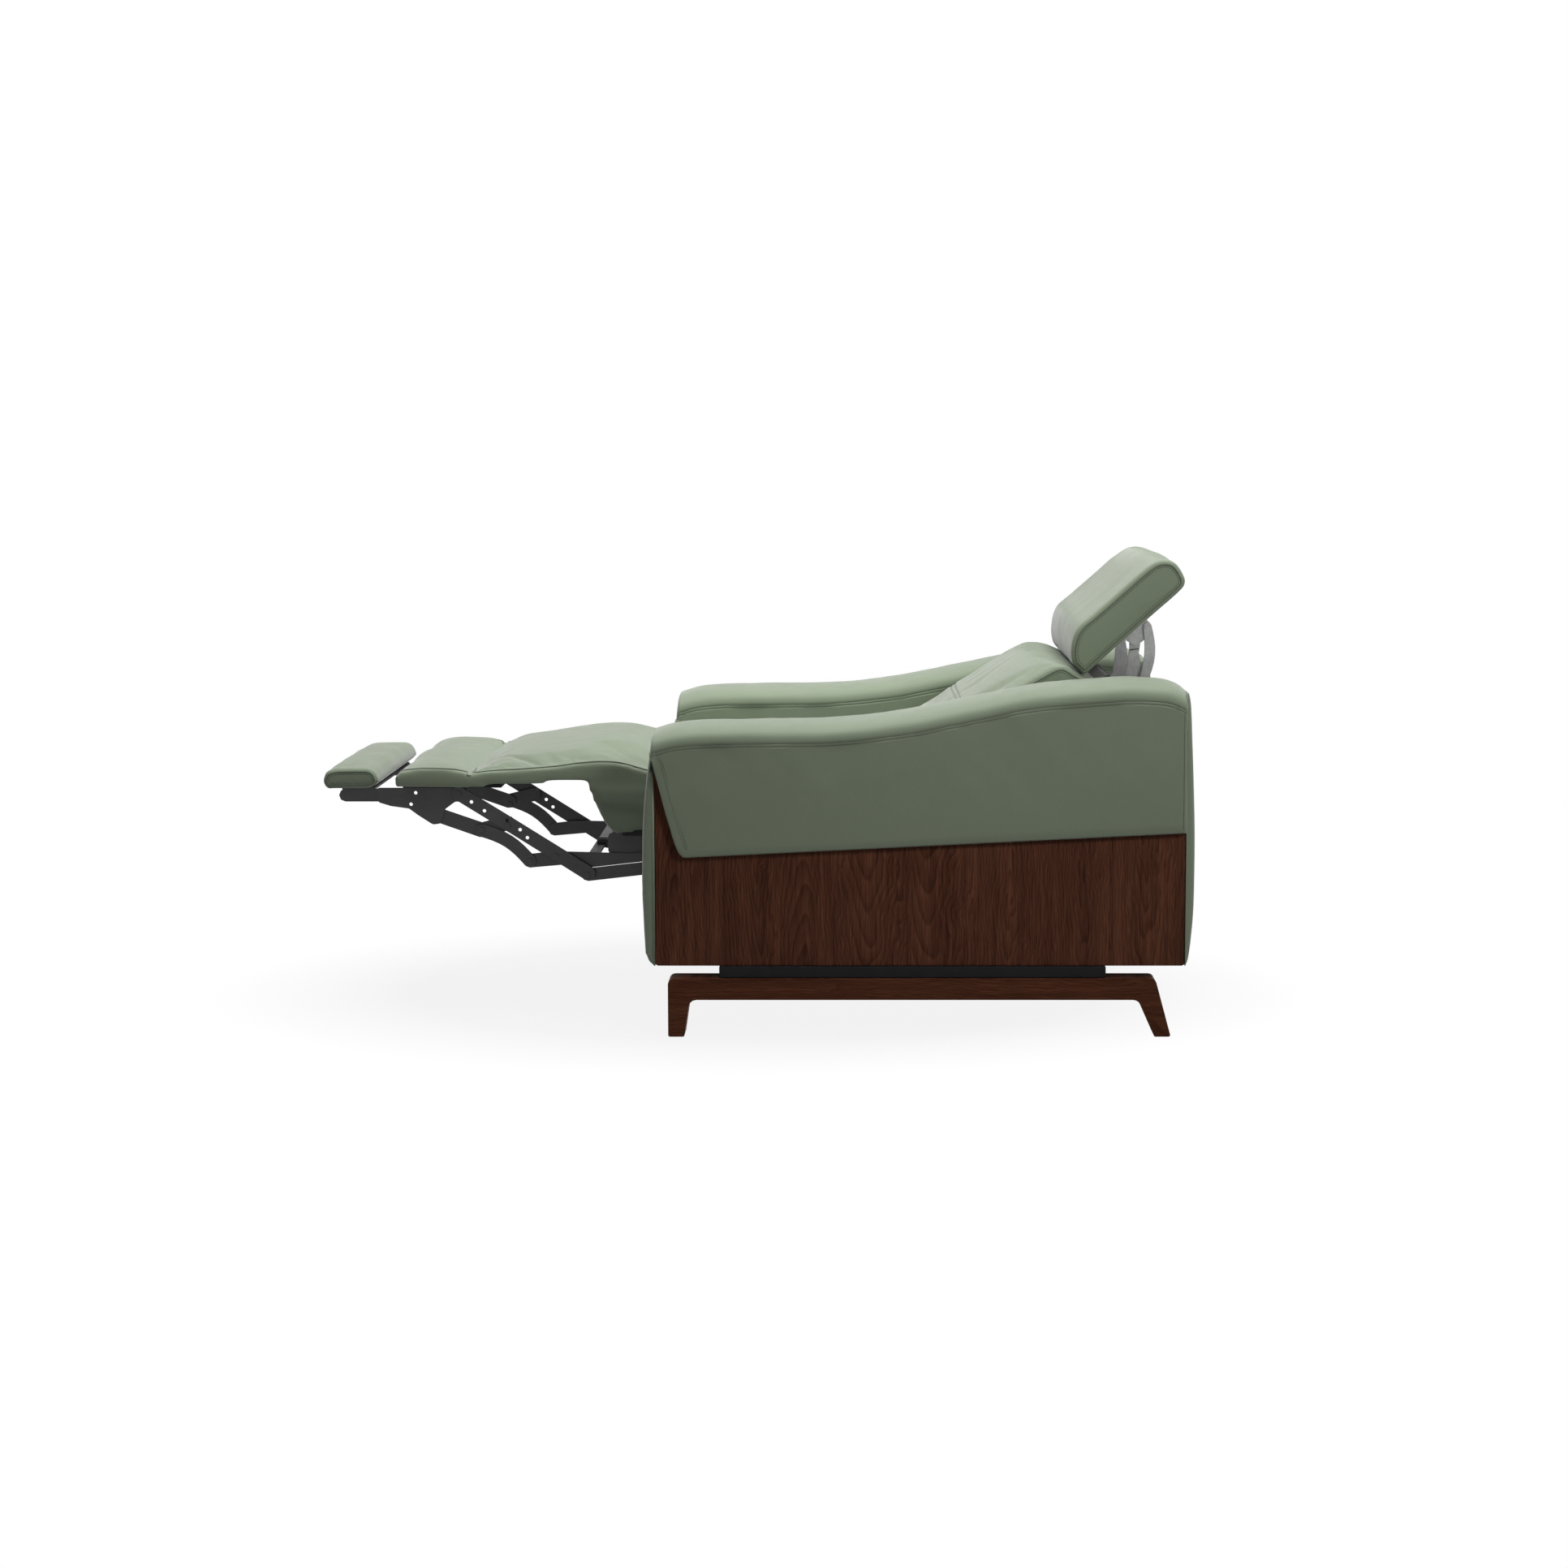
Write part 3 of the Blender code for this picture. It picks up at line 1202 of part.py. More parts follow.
def make_seat():
    for word, side in SIDES:
        add("side_plate_" + word, on_side(side, side_plate), LINK_STEEL, "seat")
        add("glide_rail_" + word, on_side(side, rail_mesh), LINK_STEEL, "base")
    recline_ears = mount_ears(FRONT_TUBE, RECLINE_MOUNT, -ACTUATOR_SPREAD)
    motor_ears = mount_ears(MOTOR_TUBE, MOTOR_MOUNT, ACTUATOR_SPREAD)
    add("seat_tube_front", seat_tube(FRONT_TUBE, recline_ears), LINK_STEEL, "seat")
    add("seat_tube_middle", seat_tube(MIDDLE_TUBE), LINK_STEEL, "seat")
    reach = layer_x(INNER_LAYER) + STRAP
    motor_tube = combined(pin(MOTOR_TUBE, -reach, reach, TUBE_RADIUS, 12), motor_ears)
    add("motor_tube", motor_tube, LINK_STEEL, "seat")
    add(
        "seat_deck",
        block(
            (DECK_SIDE_INSET - HALF_CUSHION, LEG_HINGE[0] + DECK_FRONT_BEHIND, DECK_BOTTOM),
            (HALF_CUSHION - DECK_SIDE_INSET, SEAT_REAR - EAR_RADIUS, DECK_TOP),
            SMALL_BEVEL,
        ),
        LINING,
        "seat",
    )
    add("seat_cushion", seat_mesh(), LEATHER, "seat")


# Backrest
BACK_LENGTH = 0.505
BACK_SEAM_AHEAD = 0.093
BACK_REAR_AHEAD = 0.0205
BACK_CROWN = 0.040
BACK_EDGE = 0.008
FRAME_TOP = 0.430
FRAME_START = 0.022
FRAME_SIDE_INSET = 0.017
FRAME_THIN = 0.022
FRAME_THICK = 0.085
FRAME_RADIUS = 0.008
HUB_SIDE_CLEAR = 0.030
RECLINE_EYE_FROM_PIVOT = (0.004, -0.120)
RECLINE_EYE = plus(BACK_PIVOT, RECLINE_EYE_FROM_PIVOT)
BACK_LOOP_SHARES = (
    (-0.182, 0.14, 0.0), (-0.178, 0.35, 0.1), (-0.155, 0.56, 0.3), (-0.105, 0.79, 0.6),
    (-0.045, 0.94, 0.85), (0.02, 1.0, 1.0), (0.15, 1.02, 1.0), (0.26, 1.01, 0.95),
    (0.31, 0.96, 0.85), (0.335, 0.92, 0.8), (0.36, 0.96, 0.85), (0.42, 1.01, 0.95),
    (0.54, 1.0, 1.0), (0.64, 0.97, 0.95), (0.70, 0.94, 0.75), (0.732, 0.84, 0.35),
    (0.752, 0.62, 0.08), (0.775, 0.40, 0.0), (0.80, 0.2205, 0.0), (0.60, 0.2205, 0.0),
    (0.40, 0.2205, 0.0), (0.20, 0.2205, 0.0), (0.0, 0.2205, 0.0), (-0.10, 0.2205, 0.0),
)


def back_frame():
    rear_low, rear_high = -FRAME_THIN, -FRAME_THICK
    ahead = BACK_REAR_AHEAD - GAP
    board = rounded(
        [
            (on_back(FRAME_START, ahead), 0.0),
            (on_back(FRAME_TOP, ahead), FRAME_RADIUS),
            (on_back(FRAME_TOP, rear_high), FRAME_RADIUS),
            (on_back(FRAME_START, rear_low), FRAME_RADIUS),
        ]
    )
    hub = [
        on_back(0.0, TUBE_RADIUS * 0.8), on_back(2 * FRAME_START, TUBE_RADIUS * 0.8),
        on_back(2 * FRAME_START, -TUBE_RADIUS * 0.8), on_back(0.0, -TUBE_RADIUS * 0.8),
    ]
    inside = layer_x(INNER_LAYER) - STRAP / 2 - GAP
    outside = layer_x(INNER_LAYER) + STRAP
    parts = [
        plate(hub, 0.0, 2 * (HALF_MECHANISM - HUB_SIDE_CLEAR)),
        pin(BACK_PIVOT, -inside, inside, TUBE_RADIUS, 12),
        pin(BACK_PIVOT, -outside, outside, BACK_PIN_RADIUS),
    ]
    lever = band([BACK_PIVOT, RECLINE_EYE], 2 * EYE_RADIUS)
    parts += ears(lever, -ACTUATOR_SPREAD, EYE_WIDTH + 2 * GAP)
    return combined(plate(board, 0.0, 2 * (HALF_CUSHION - FRAME_SIDE_INSET)), parts)


def back_cushion():
    loop = []
    for along, ahead, crown in BACK_LOOP_SHARES:
        y, z = on_back(along * BACK_LENGTH, ahead * BACK_SEAM_AHEAD)
        loop.append((y, z, crown))
    return padded(loop, HALF_CUSHION, BACK_CROWN, turned(UP, BACK_SLOPE), BACK_EDGE)


# Headrest and its brackets
HEAD_PIVOT_FROM_BACK = (0.4061, 0.3110)
HEAD_PIVOT = plus(BACK_PIVOT, HEAD_PIVOT_FROM_BACK)
HEAD_CRANK = (0.0228, 0.0209)
CRANK_BELOW = (-0.0080, -0.1060)
CRANK_PIVOT = plus(HEAD_PIVOT, CRANK_BELOW)
HEAD_BRACKET_SPREAD = 0.150
HEAD_STRAP = 0.004
HEAD_PITCH = 0.0048
HEAD_PIN = 0.0035
HEAD_LINK_WIDTH = 0.0160
HEAD_LINK_BELLY = 0.0045
HEAD_LINK_BOW = 0.009
BRACKET_WIDTH = 0.026
GUSSET_REACH = 0.030
GUSSET_ROUND = 0.003
GUSSET_LOW = -0.0225
GUSSET_HIGH = 0.0380
GUSSET_CORNER_SHARES = ((1.0, 0.82), (1.0, 0.53), (0.55, -0.21), (0.05, -0.57))
HEAD_SLOPE = math.radians(41.64)
HEAD_REAR_FROM_PIVOT = 0.0242
HEAD_LENGTH = 0.2600
HEAD_DEPTH = 0.0745
HEAD_START = -0.1190
HEAD_CROWN = 0.024
HEAD_LOOP_SHARES = (
    (0.012, 0.02, 0.0), (0.0, 0.23, 0.0), (0.0, 0.44, 0.05), (0.058, 0.70, 0.4), (0.142, 0.915, 0.8),
    (0.215, 0.985, 1.0), (0.34, 0.975, 1.0), (0.473, 0.97, 1.0), (0.61, 0.970, 1.0),
    (0.754, 0.970, 1.0), (0.892, 0.935, 0.8), (0.967, 0.79, 0.5), (1.0, 0.570, 0.2),
    (0.99, 0.265, 0.0), (0.96, 0.07, 0.0), (0.885, 0.0, 0.0), (0.63, 0.0, 0.0),
    (0.288, 0.0, 0.0), (0.12, 0.0, 0.0),
)


def on_head(along, ahead):
    """A point of the headrest: along its slope from its pivot, ahead of its flat rear face."""
    local = turned((along, ahead + HEAD_REAR_FROM_PIVOT), HEAD_SLOPE)
    return plus(HEAD_PIVOT, local)


def head_x(layer):
    return HEAD_BRACKET_SPREAD + layer * HEAD_PITCH


def head_rivet(centre, home, away):
    out = 1 if away > home else -1
    far = head_x(away) + out * (HEAD_STRAP / 2 + GAP)
    end = far + out * HEAD_THICKNESS
    wide = HEAD_PIN + OVERRUN
    return [stepped_pin(centre, [(head_x(home), HEAD_PIN), (far, HEAD_PIN), (far, wide), (end, wide)])]


def head_hole(centre):
    return hole(centre, HEAD_PIN)


def headrest_bracket(side):
    """The fixed bracket: it stands on the top end of the back frame."""
    width = BRACKET_WIDTH
    low = on_back(FRAME_TOP + GAP, -FRAME_THICK * 0.35)
    high = on_back(FRAME_TOP + GAP, -FRAME_THICK * 0.85)
    y, z = HEAD_PIVOT
    foot = CRANK_PIVOT[1] + width / 2
    corners = [
        (high, width * 0.08),
        ((y + width * 0.50, foot), width * 0.25),
        ((y + width * 0.44, z - width * 1.77), width * 0.2),
        ((y + width * 0.27, z - width * 0.85), width * 0.15),
        ((y + width * 0.34, z + width * 0.36), width * 0.25),
        ((y - width * 0.40, z + width * 0.36), width * 0.25),
        ((y - width * 0.38, z - width * 0.90), width * 0.15),
        ((y - width * 0.67, foot), width * 0.25),
        (low, width * 0.08),
    ]
    holes = [head_hole(HEAD_PIVOT), head_hole(CRANK_PIVOT)]
    return plate(rounded(corners), side * head_x(-1), HEAD_STRAP, holes)


def head_gusset():
    """The plate on the headrest: it turns on the fixed bracket and carries the rear link."""
    link = plus(HEAD_PIVOT, HEAD_CRANK)
    corners = [(on_head(GUSSET_LOW, -GAP), 0.0), (on_head(GUSSET_HIGH, -GAP), 0.0)]
    corners += [(plus(HEAD_PIVOT, at, GUSSET_REACH), GUSSET_ROUND) for at in GUSSET_CORNER_SHARES]
    base = plate(rounded(corners), head_x(0), HEAD_STRAP)
    pins = head_rivet(HEAD_PIVOT, 0, -1) + head_rivet(link, 0, 1)
    return combined(base, pins)


def head_link(side):
    top = plus(HEAD_PIVOT, HEAD_CRANK)
    low = plus(CRANK_PIVOT, HEAD_CRANK)
    path = bowed(top, low, HEAD_LINK_BOW)
    widths = [HEAD_LINK_WIDTH + HEAD_LINK_BELLY * fullness for point, fullness in path]
    outline = band([point for point, fullness in path], widths)
    return plate(outline, side * head_x(1), HEAD_STRAP, [head_hole(top), head_hole(low)])


def head_crank():
    """The shaft across the back with a short crank at each end."""
    tip = plus(CRANK_PIVOT, HEAD_CRANK)
    outline = band([CRANK_PIVOT, tip], HEAD_LINK_WIDTH)
    end = head_x(0)
    parts = []
    for side in (1, -1):
        parts.append(plate(outline, side * end, HEAD_STRAP))
        for bm in head_rivet(tip, 0, 1):
            parts.append(on_side(side, lambda bm=bm: bm))
    return combined(pin(CRANK_PIVOT, -end, end, HEAD_PIN), parts)


def make_back():
    add("back_frame", back_frame(), PLYWOOD, "backrest")
    add("back_cushion", back_cushion(), LEATHER, "backrest")
    loop = []
    for along, ahead, crown in HEAD_LOOP_SHARES:
        y, z = on_head(HEAD_START + along * HEAD_LENGTH, ahead * HEAD_DEPTH)
        loop.append((y, z, crown))
    head = padded(loop, HALF_CUSHION, HEAD_CROWN, turned(UP, HEAD_SLOPE), BACK_EDGE)
    add("headrest_pad", head, LEATHER, "headrest")
    add("headrest_crank", head_crank(), SILVER_STEEL, "headrest_crank")
    for word, side in SIDES:
        add("headrest_bracket_" + word, headrest_bracket(side), SILVER_STEEL, "backrest")
        add("headrest_gusset_" + word, on_side(side, head_gusset), SILVER_STEEL, "headrest")
        add("headrest_link_" + word, head_link(side), SILVER_STEEL, "headrest_links")


# Actuators: a gearbox and tube that tilt on the fixed eye, and a rod that slides in the tube
LEG_ROD_DRAWN_IN = 0.1385
RECLINE_ROD_DRAWN_OUT = 0.0905
ROD_INSIDE = 0.0235
TUBE_OUTER = 0.015
TUBE_END_SHORT = 0.100
ROD_START_CLEAR = 0.003
GEARBOX_ROUND = 0.004
ROD_RADIUS = 0.009
GEARBOX_START = 0.018
GEARBOX_LENGTH = 0.075
GEARBOX_HALF = 0.020
MOTOR_RADIUS = 0.017
MOTOR_LENGTH = 0.080
EYE_HOLE = 0.0045


def actuator(mount, eye, middle, drawn_in, drawn_out, motor_side):
    """The body and the rod of an actuator. From this pose its eye can be drawn in and out."""
    run = Vector(minus(eye, mount))
    reach = run.length
    heading = run / reach
    fixed = Vector(mount)
    tube_end = reach - drawn_in - TUBE_END_SHORT
    rod_start = tube_end - ROD_INSIDE - drawn_out
    bore_start = rod_start - drawn_in - ROD_START_CLEAR

    def at(distance, off=0.0, x=0.0):
        y, z = fixed + heading * distance + Vector((-heading.y, heading.x)) * off
        return (middle + x, y, z)

    half = EYE_WIDTH / 2
    lug = band([mount, tuple(fixed + heading * GEARBOX_START * 1.5)], 2 * EYE_RADIUS)
    far = GEARBOX_START + GEARBOX_LENGTH
    box_outline = [
        (at(distance, off * GEARBOX_HALF)[1:], GEARBOX_ROUND)
        for distance, off in ((GEARBOX_START, -1), (far, -1), (far, 1), (GEARBOX_START, 1))
    ]
    motor_start = at(GEARBOX_START + GEARBOX_LENGTH / 2, 0.0, motor_side * GEARBOX_HALF / 2)
    motor_end = (motor_start[0] + motor_side * MOTOR_LENGTH, *motor_start[1:])
    body = combined(
        plate(rounded(box_outline), middle, 2 * GEARBOX_HALF),
        [
            plate(lug, middle, EYE_WIDTH),
            rod(at(GEARBOX_START + OVERRUN), at(tube_end), TUBE_OUTER, 12),
            rod(motor_start, motor_end, MOTOR_RADIUS, 12),
        ],
    )
    bore = rod(at(bore_start), at(tube_end + OVERRUN), ROD_RADIUS + GAP, 12)
    eye_hole = plate(hole(mount, PIN_RADIUS), middle, EYE_WIDTH + OVERRUN)
    body = combined(body, [bore, eye_hole], "DIFFERENCE")
    eye_plate = plate(circle(eye, EYE_RADIUS, 12), middle, EYE_WIDTH)
    shaft = rod(at(rod_start), at(reach - EYE_RADIUS / 2), ROD_RADIUS, 12)
    rod_hole = pin(eye, middle - half - OVERRUN, middle + half + OVERRUN, EYE_HOLE)
    slider = combined(combined(eye_plate, [shaft]), [rod_hole], "DIFFERENCE")
    return body, slider


def make_actuators():
    for word, mount, eye, side, drawn_in, drawn_out in (
        ("leg_rest", MOTOR_MOUNT, CLEVIS_POINT, 1, LEG_ROD_DRAWN_IN, 0.0),
        ("recline", RECLINE_MOUNT, RECLINE_EYE, -1, 0.0, RECLINE_ROD_DRAWN_OUT),
    ):
        middle = side * ACTUATOR_SPREAD
        body, slider = actuator(mount, eye, middle, drawn_in, drawn_out, -side)
        add(word + "_actuator_body", body, PLASTIC, word + "_actuator_body")
        add(word + "_actuator_rod", slider, GREY_STEEL, word + "_actuator_rod")


def set_pivots():
    for body, place in (
        ("leg_rest", LEG_HINGE),
        ("backrest", BACK_PIVOT),
        ("headrest", HEAD_PIVOT),
        ("headrest_crank", CRANK_PIVOT),
        ("headrest_links", plus(CRANK_PIVOT, HEAD_CRANK)),
        ("drive_links", DRIVE_GROUND),
        ("rear_links", REAR_GROUND),
        ("long_links", DRIVE_PIVOT),
        ("curved_links", DRIVE_TIP),
        ("cross_links", CROSS_PIVOT),
        ("front_links", FRONT_PIVOT),
        ("foot_rest", FOOT_PIVOT),
        ("leg_rest_actuator_body", MOTOR_MOUNT),
        ("leg_rest_actuator_rod", CLEVIS_POINT),
        ("recline_actuator_body", RECLINE_MOUNT),
        ("recline_actuator_rod", RECLINE_EYE),
    ):
        PIVOTS[body] = (0.0, *place)
    PIVOTS["seat"] = (0.0, *FRONT_TUBE)


def main():
    clear_scene()
    set_pivots()
    make_base()
    make_body()
    make_controls()
    make_supply()
    make_seat()
    make_back()
    make_leg_rest()
    make_foot()
    make_links()
    make_actuators()


main()
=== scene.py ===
"""Looks of the power recliner: leather covers, stitching, wood, steel, light and camera."""

import math

import bmesh
import bpy
import numpy as np
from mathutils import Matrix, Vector
from mathutils.bvhtree import BVHTree


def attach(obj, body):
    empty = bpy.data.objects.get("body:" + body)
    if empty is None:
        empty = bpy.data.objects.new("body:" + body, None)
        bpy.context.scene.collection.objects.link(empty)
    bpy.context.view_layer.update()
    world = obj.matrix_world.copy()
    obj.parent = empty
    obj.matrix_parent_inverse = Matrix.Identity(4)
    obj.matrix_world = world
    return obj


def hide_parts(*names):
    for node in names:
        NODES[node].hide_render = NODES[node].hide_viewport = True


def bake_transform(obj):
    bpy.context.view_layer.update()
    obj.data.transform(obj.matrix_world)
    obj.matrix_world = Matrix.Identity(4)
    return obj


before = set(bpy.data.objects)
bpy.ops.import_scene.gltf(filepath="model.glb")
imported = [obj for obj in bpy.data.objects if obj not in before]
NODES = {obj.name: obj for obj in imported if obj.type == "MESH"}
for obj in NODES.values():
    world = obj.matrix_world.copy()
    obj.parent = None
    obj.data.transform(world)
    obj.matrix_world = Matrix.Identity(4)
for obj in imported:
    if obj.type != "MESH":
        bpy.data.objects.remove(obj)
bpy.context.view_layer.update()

# Places that the solids share with the covers, in metres
HALF_WIDTH = 0.490
ARM_WIDTH = 0.180
ARM_INNER = HALF_WIDTH - ARM_WIDTH
PANEL_OUTER = 0.476
PANEL_INNER = 0.456
PANEL_FRONT = -0.16825
PANEL_REAR = 0.78175
PANEL_TOP = 0.500
PLINTH_TOP = 0.1263
HALF_CUSHION = 0.297
LEG_HINGE = (-0.32185, 0.4352)
BACK_PIVOT = (0.30945, 0.385)
BACK_SLOPE = math.radians(33.2)
HEAD_PIVOT = (0.71555, 0.696)
HEAD_SLOPE = math.radians(41.64)
SEAT_REAR = 0.17445
GAP = 0.0003
SIDES = (("left", 1), ("right", -1))


def on_slope(pivot, slope, along, ahead):
    """The (y, z) point at a distance along a sloping line through a pivot, and ahead of it."""
    c, s = math.cos(slope), math.sin(slope)
    return pivot[0] + along * c - ahead * s, pivot[1] + along * s + ahead * c


def curve(a, b, c, d, t):
    square = (2 * a - 5 * b + 4 * c - d) * t * t
    return 0.5 * (2 * b + (c - a) * t + square + (3 * b - a - 3 * c + d) * t * t * t)


def spline(points, steps, closed=False):
    """A Catmull-Rom curve through points of any dimension."""
    count = len(points)
    out = []
    for i in range(count if closed else count - 1):
        if closed:
            ends = [points[(i + k) % count] for k in (-1, 0, 1, 2)]
        else:
            ends = [points[min(max(i + k, 0), count - 1)] for k in (-1, 0, 1, 2)]
        for j in range(steps):
            out.append(tuple(curve(*four, j / steps) for four in zip(*ends)))
    if not closed:
        out.append(tuple(points[-1]))
    return out


def reading(table, share):
    """The value at a share in a table of (share, value) rows."""
    if share <= table[0][0]:
        return table[0][1]
    for (a, low), (b, high) in zip(table, table[1:]):
        if share <= b:
            return low + (high - low) * (share - a) / (b - a)
    return table[-1][1]


def rise(values, start, over):
    """0 up to a start, then rising to 1."""
    return np.clip((values - start) / over, 0, 1)


def configured(target, **settings):
    for key, value in settings.items():
        setattr(target, key, value)
    return target


def modifier(obj, kind, **settings):
    return configured(obj.modifiers.new(kind.lower(), kind), **settings)


def new_object(name, mesh):
    obj = bpy.data.objects.new(name, mesh)
    bpy.context.scene.collection.objects.link(obj)
    return obj


def skin(name, *forms, closed=False):
    """A mesh through the sections of each form, which is capped at its ends or closed."""
    bm = bmesh.new()
    for sections in forms:
        rings = [[bm.verts.new(tuple(p)) for p in section] for section in sections]
        pairs = list(zip(rings, rings[1:]))
        if closed:
            pairs.append((rings[-1], rings[0]))
        for first, second in pairs:
            for i in range(len(first)):
                bm.faces.new((first[i - 1], first[i], second[i], second[i - 1]))
        if not closed:
            bm.faces.new(rings[0][::-1])
            bm.faces.new(rings[-1])
    bmesh.ops.recalc_face_normals(bm, faces=bm.faces[:])
    if bm.calc_volume(signed=True) < 0:
        bmesh.ops.reverse_faces(bm, faces=bm.faces[:])
    mesh = bpy.data.meshes.new(name)
    bm.to_mesh(mesh)
    bm.free()
    mesh.shade_smooth()
    return new_object(name, mesh)


def applied(obj):
    """Bakes an object's modifiers into its mesh."""
    bpy.context.view_layer.update()
    graph = bpy.context.evaluated_depsgraph_get()
    mesh = bpy.data.meshes.new_from_object(obj.evaluated_get(graph))
    old = obj.data
    obj.modifiers.clear()
    obj.data = mesh
    bpy.data.meshes.remove(old)
    mesh.shade_smooth()


def points_of(obj, what="co"):
    """The points of an object's mesh, or their normals."""
    co = np.empty(len(obj.data.vertices) * 3, np.float32)
    obj.data.vertices.foreach_get(what, co)
    return co.reshape(-1, 3).astype(float)


def set_points(obj, co):
    obj.data.vertices.foreach_set("co", co.astype(np.float32).ravel())
    obj.data.update()


# Soft pieces

WAVE_COUNT = 9
ACROSS_STATIONS = 40
CROWN_POWER = 2.4
CLOTH_FRAMES = 20
CLOTH_PRESSURE = 4.0
CLOTH_STIFFNESS = 12.0
TUBE_SIDES = 6
WELT_RADIUS = 0.0014
LONG_WELT_RADIUS = 0.0016
# Radii of the dark cords laid along seam lines as painted shade of their grooves
SEAM_SHADE_RADIUS = 0.0007
FLAP_SEAM_SHADE_RADIUS = 0.0005
CROSS_SEAM_SHADE_RADIUS = 0.0008
STITCH_PITCH = 0.0056
STITCH_LENGTH = 0.0044
STITCH_RADIUS = 0.00065
STITCH_SIDES = 5
STITCH_SHAPE = ((0, 0.3), (0.15, 0.9), (0.85, 0.9), (1, 0.3))


def outline(rows, place):
    """Rows of (share, share, rise) put in place. A row without a rise doesn't crown."""
    return [(*place(*row[:2]), row[2] if len(row) > 2 else 0.0) for row in rows]


def waves(co, seed, size):
    """Smooth pseudo-random height between -1 and 1 at points, from a few seeded sine waves."""
    rng = np.random.default_rng(seed)
    total = np.zeros(len(co))
    for _ in range(WAVE_COUNT):
        way = rng.normal(size=3)
        way /= np.linalg.norm(way)
        length = size * rng.uniform(0.7, 1.6)
        total += np.sin(co @ way * 2 * math.pi / length + rng.uniform(0, 6.28))
    return total / (WAVE_COUNT / 2)


def stations(half, edge, count):
    """Places across a cushion, close together where its side edges round off."""
    inner = half - edge
    xs = [inner * math.sin(math.pi / 2 * t) for t in np.linspace(0, 1, count)]
    xs += [half - edge * (1 - math.sin(a)) for a in np.linspace(0, math.pi / 2, 6)[1:]]
    return [-x for x in xs[:0:-1]] + xs


def outward(loop):
    """Unit normals of a closed (y, z) loop, facing out."""
    after = loop[1:] + loop[:1]
    area = sum(a[0] * b[1] - b[0] * a[1] for a, b in zip(loop, after))
    sign = 1 if area > 0 else -1
    normals = []
    for i, b in enumerate(after):
        a = loop[i - 1]
        run = Vector((b[0] - a[0], b[1] - a[1]))
        run = run.normalized() if run.length > 1e-9 else Vector((1, 0))
        normals.append((run.y * sign, -run.x * sign))
    return normals


def cushion(name, loop, half, crown, heading, edge, draw=0.004, shrink=0.0, steps=4):
    """A stuffed form: a (y, z, rise) outline carried across X.

    It crowns along the heading, its side edges round off by a quarter circle, and its sides draw
    in between the ends.
    """
    dense = spline(loop, steps, closed=True)
    normals = outward(dense)
    low, high = min(p[0] for p in dense), max(p[0] for p in dense)
    sections = []
    for x in stations(half, edge, ACROSS_STATIONS):
        share = abs(x) / half
        lift = (crown - shrink) * (1 - share**CROWN_POWER)
        rest = max(0.0, edge - (half - abs(x)))
        inset = edge - math.sqrt(max(0.0, edge**2 - rest**2)) + shrink * 0.4
        section = []
        for (y, z, rise), n in zip(dense, normals):
            pull = draw * math.sin(math.pi * (y - low) / (high - low))
            ahead = y + heading[0] * lift * rise - n[0] * inset
            up = z + heading[1] * lift * rise - n[1] * inset
            section.append((x * (half - pull) / half, ahead, up))
        sections.append(section)
    return skin(name, sections)


def inflate(obj, hold, voxel, cap, grow):
    """Remeshes a form and lets Cloth swell it by up to cap, where hold() leaves it free."""
    modifier(obj, "REMESH", mode="VOXEL", voxel_size=voxel)
    modifier(obj, "SMOOTH", factor=0.5, iterations=3)
    applied(obj)
    start = points_of(obj)
    weight = hold(start)
    group = obj.vertex_groups.new(name="hold")
    for i in np.nonzero(weight > 0.01)[0]:
        group.add([int(i)], float(weight[i]), "REPLACE")
    cloth = modifier(obj, "CLOTH")
    settings = configured(
        cloth.settings, quality=4, mass=0.4, air_damping=4, pin_stiffness=4,
        tension_stiffness=CLOTH_STIFFNESS, compression_stiffness=CLOTH_STIFFNESS,
        shear_stiffness=CLOTH_STIFFNESS / 2, bending_stiffness=0.4, use_pressure=True,
        uniform_pressure_force=CLOTH_PRESSURE, shrink_min=-grow, vertex_group_mass="hold",
    )
    settings.effector_weights.gravity = 0
    cloth.collision_settings.use_collision = False
    configured(cloth.point_cache, frame_start=1, frame_end=CLOTH_FRAMES)
    scene = bpy.context.scene
    for step in range(1, CLOTH_FRAMES + 1):
        scene.frame_set(step)
    applied(obj)
    obj.vertex_groups.clear()
    scene.frame_set(1)
    moved = points_of(obj) - start
    far = np.linalg.norm(moved, axis=1)
    moved *= (np.minimum(far, cap) / np.maximum(far, 1e-9))[:, None]
    set_points(obj, start + moved)


def finer(obj):
    """Divides a mesh once more."""
    modifier(obj, "SUBSURF", levels=1, render_levels=1)
    applied(obj)


def tree_of(obj):
    mesh = obj.data
    return BVHTree.FromPolygons(
        [v.co.copy() for v in mesh.vertices], [tuple(p.vertices) for p in mesh.polygons]
    )


def onto(tree, point, heading, reach):
    """The surface point met from outside."""
    start = Vector(point) - Vector(heading) * reach
    hit = tree.ray_cast(start, Vector(heading), 2 * reach)[0]
    return tree.find_nearest(Vector(point))[0] if hit is None else hit


def on_side(tree, side, half, line, reach=0.08):
    """A (y, z) line laid on a side face."""
    return [onto(tree, (side * half, y, z), (-side, 0, 0), reach) for y, z in line]


def across(run):
    """Two directions square to a line and to each other."""
    side = Vector((1, 0, 0)) - run * run.x
    if side.length < 0.1:
        side = Vector((0, 0, 1)) - run * run.z
    side.normalize()
    return side, run.cross(side)


def circle(sides):
    return [(math.cos(a), math.sin(a)) for a in (2 * math.pi * k / sides for k in range(sides))]


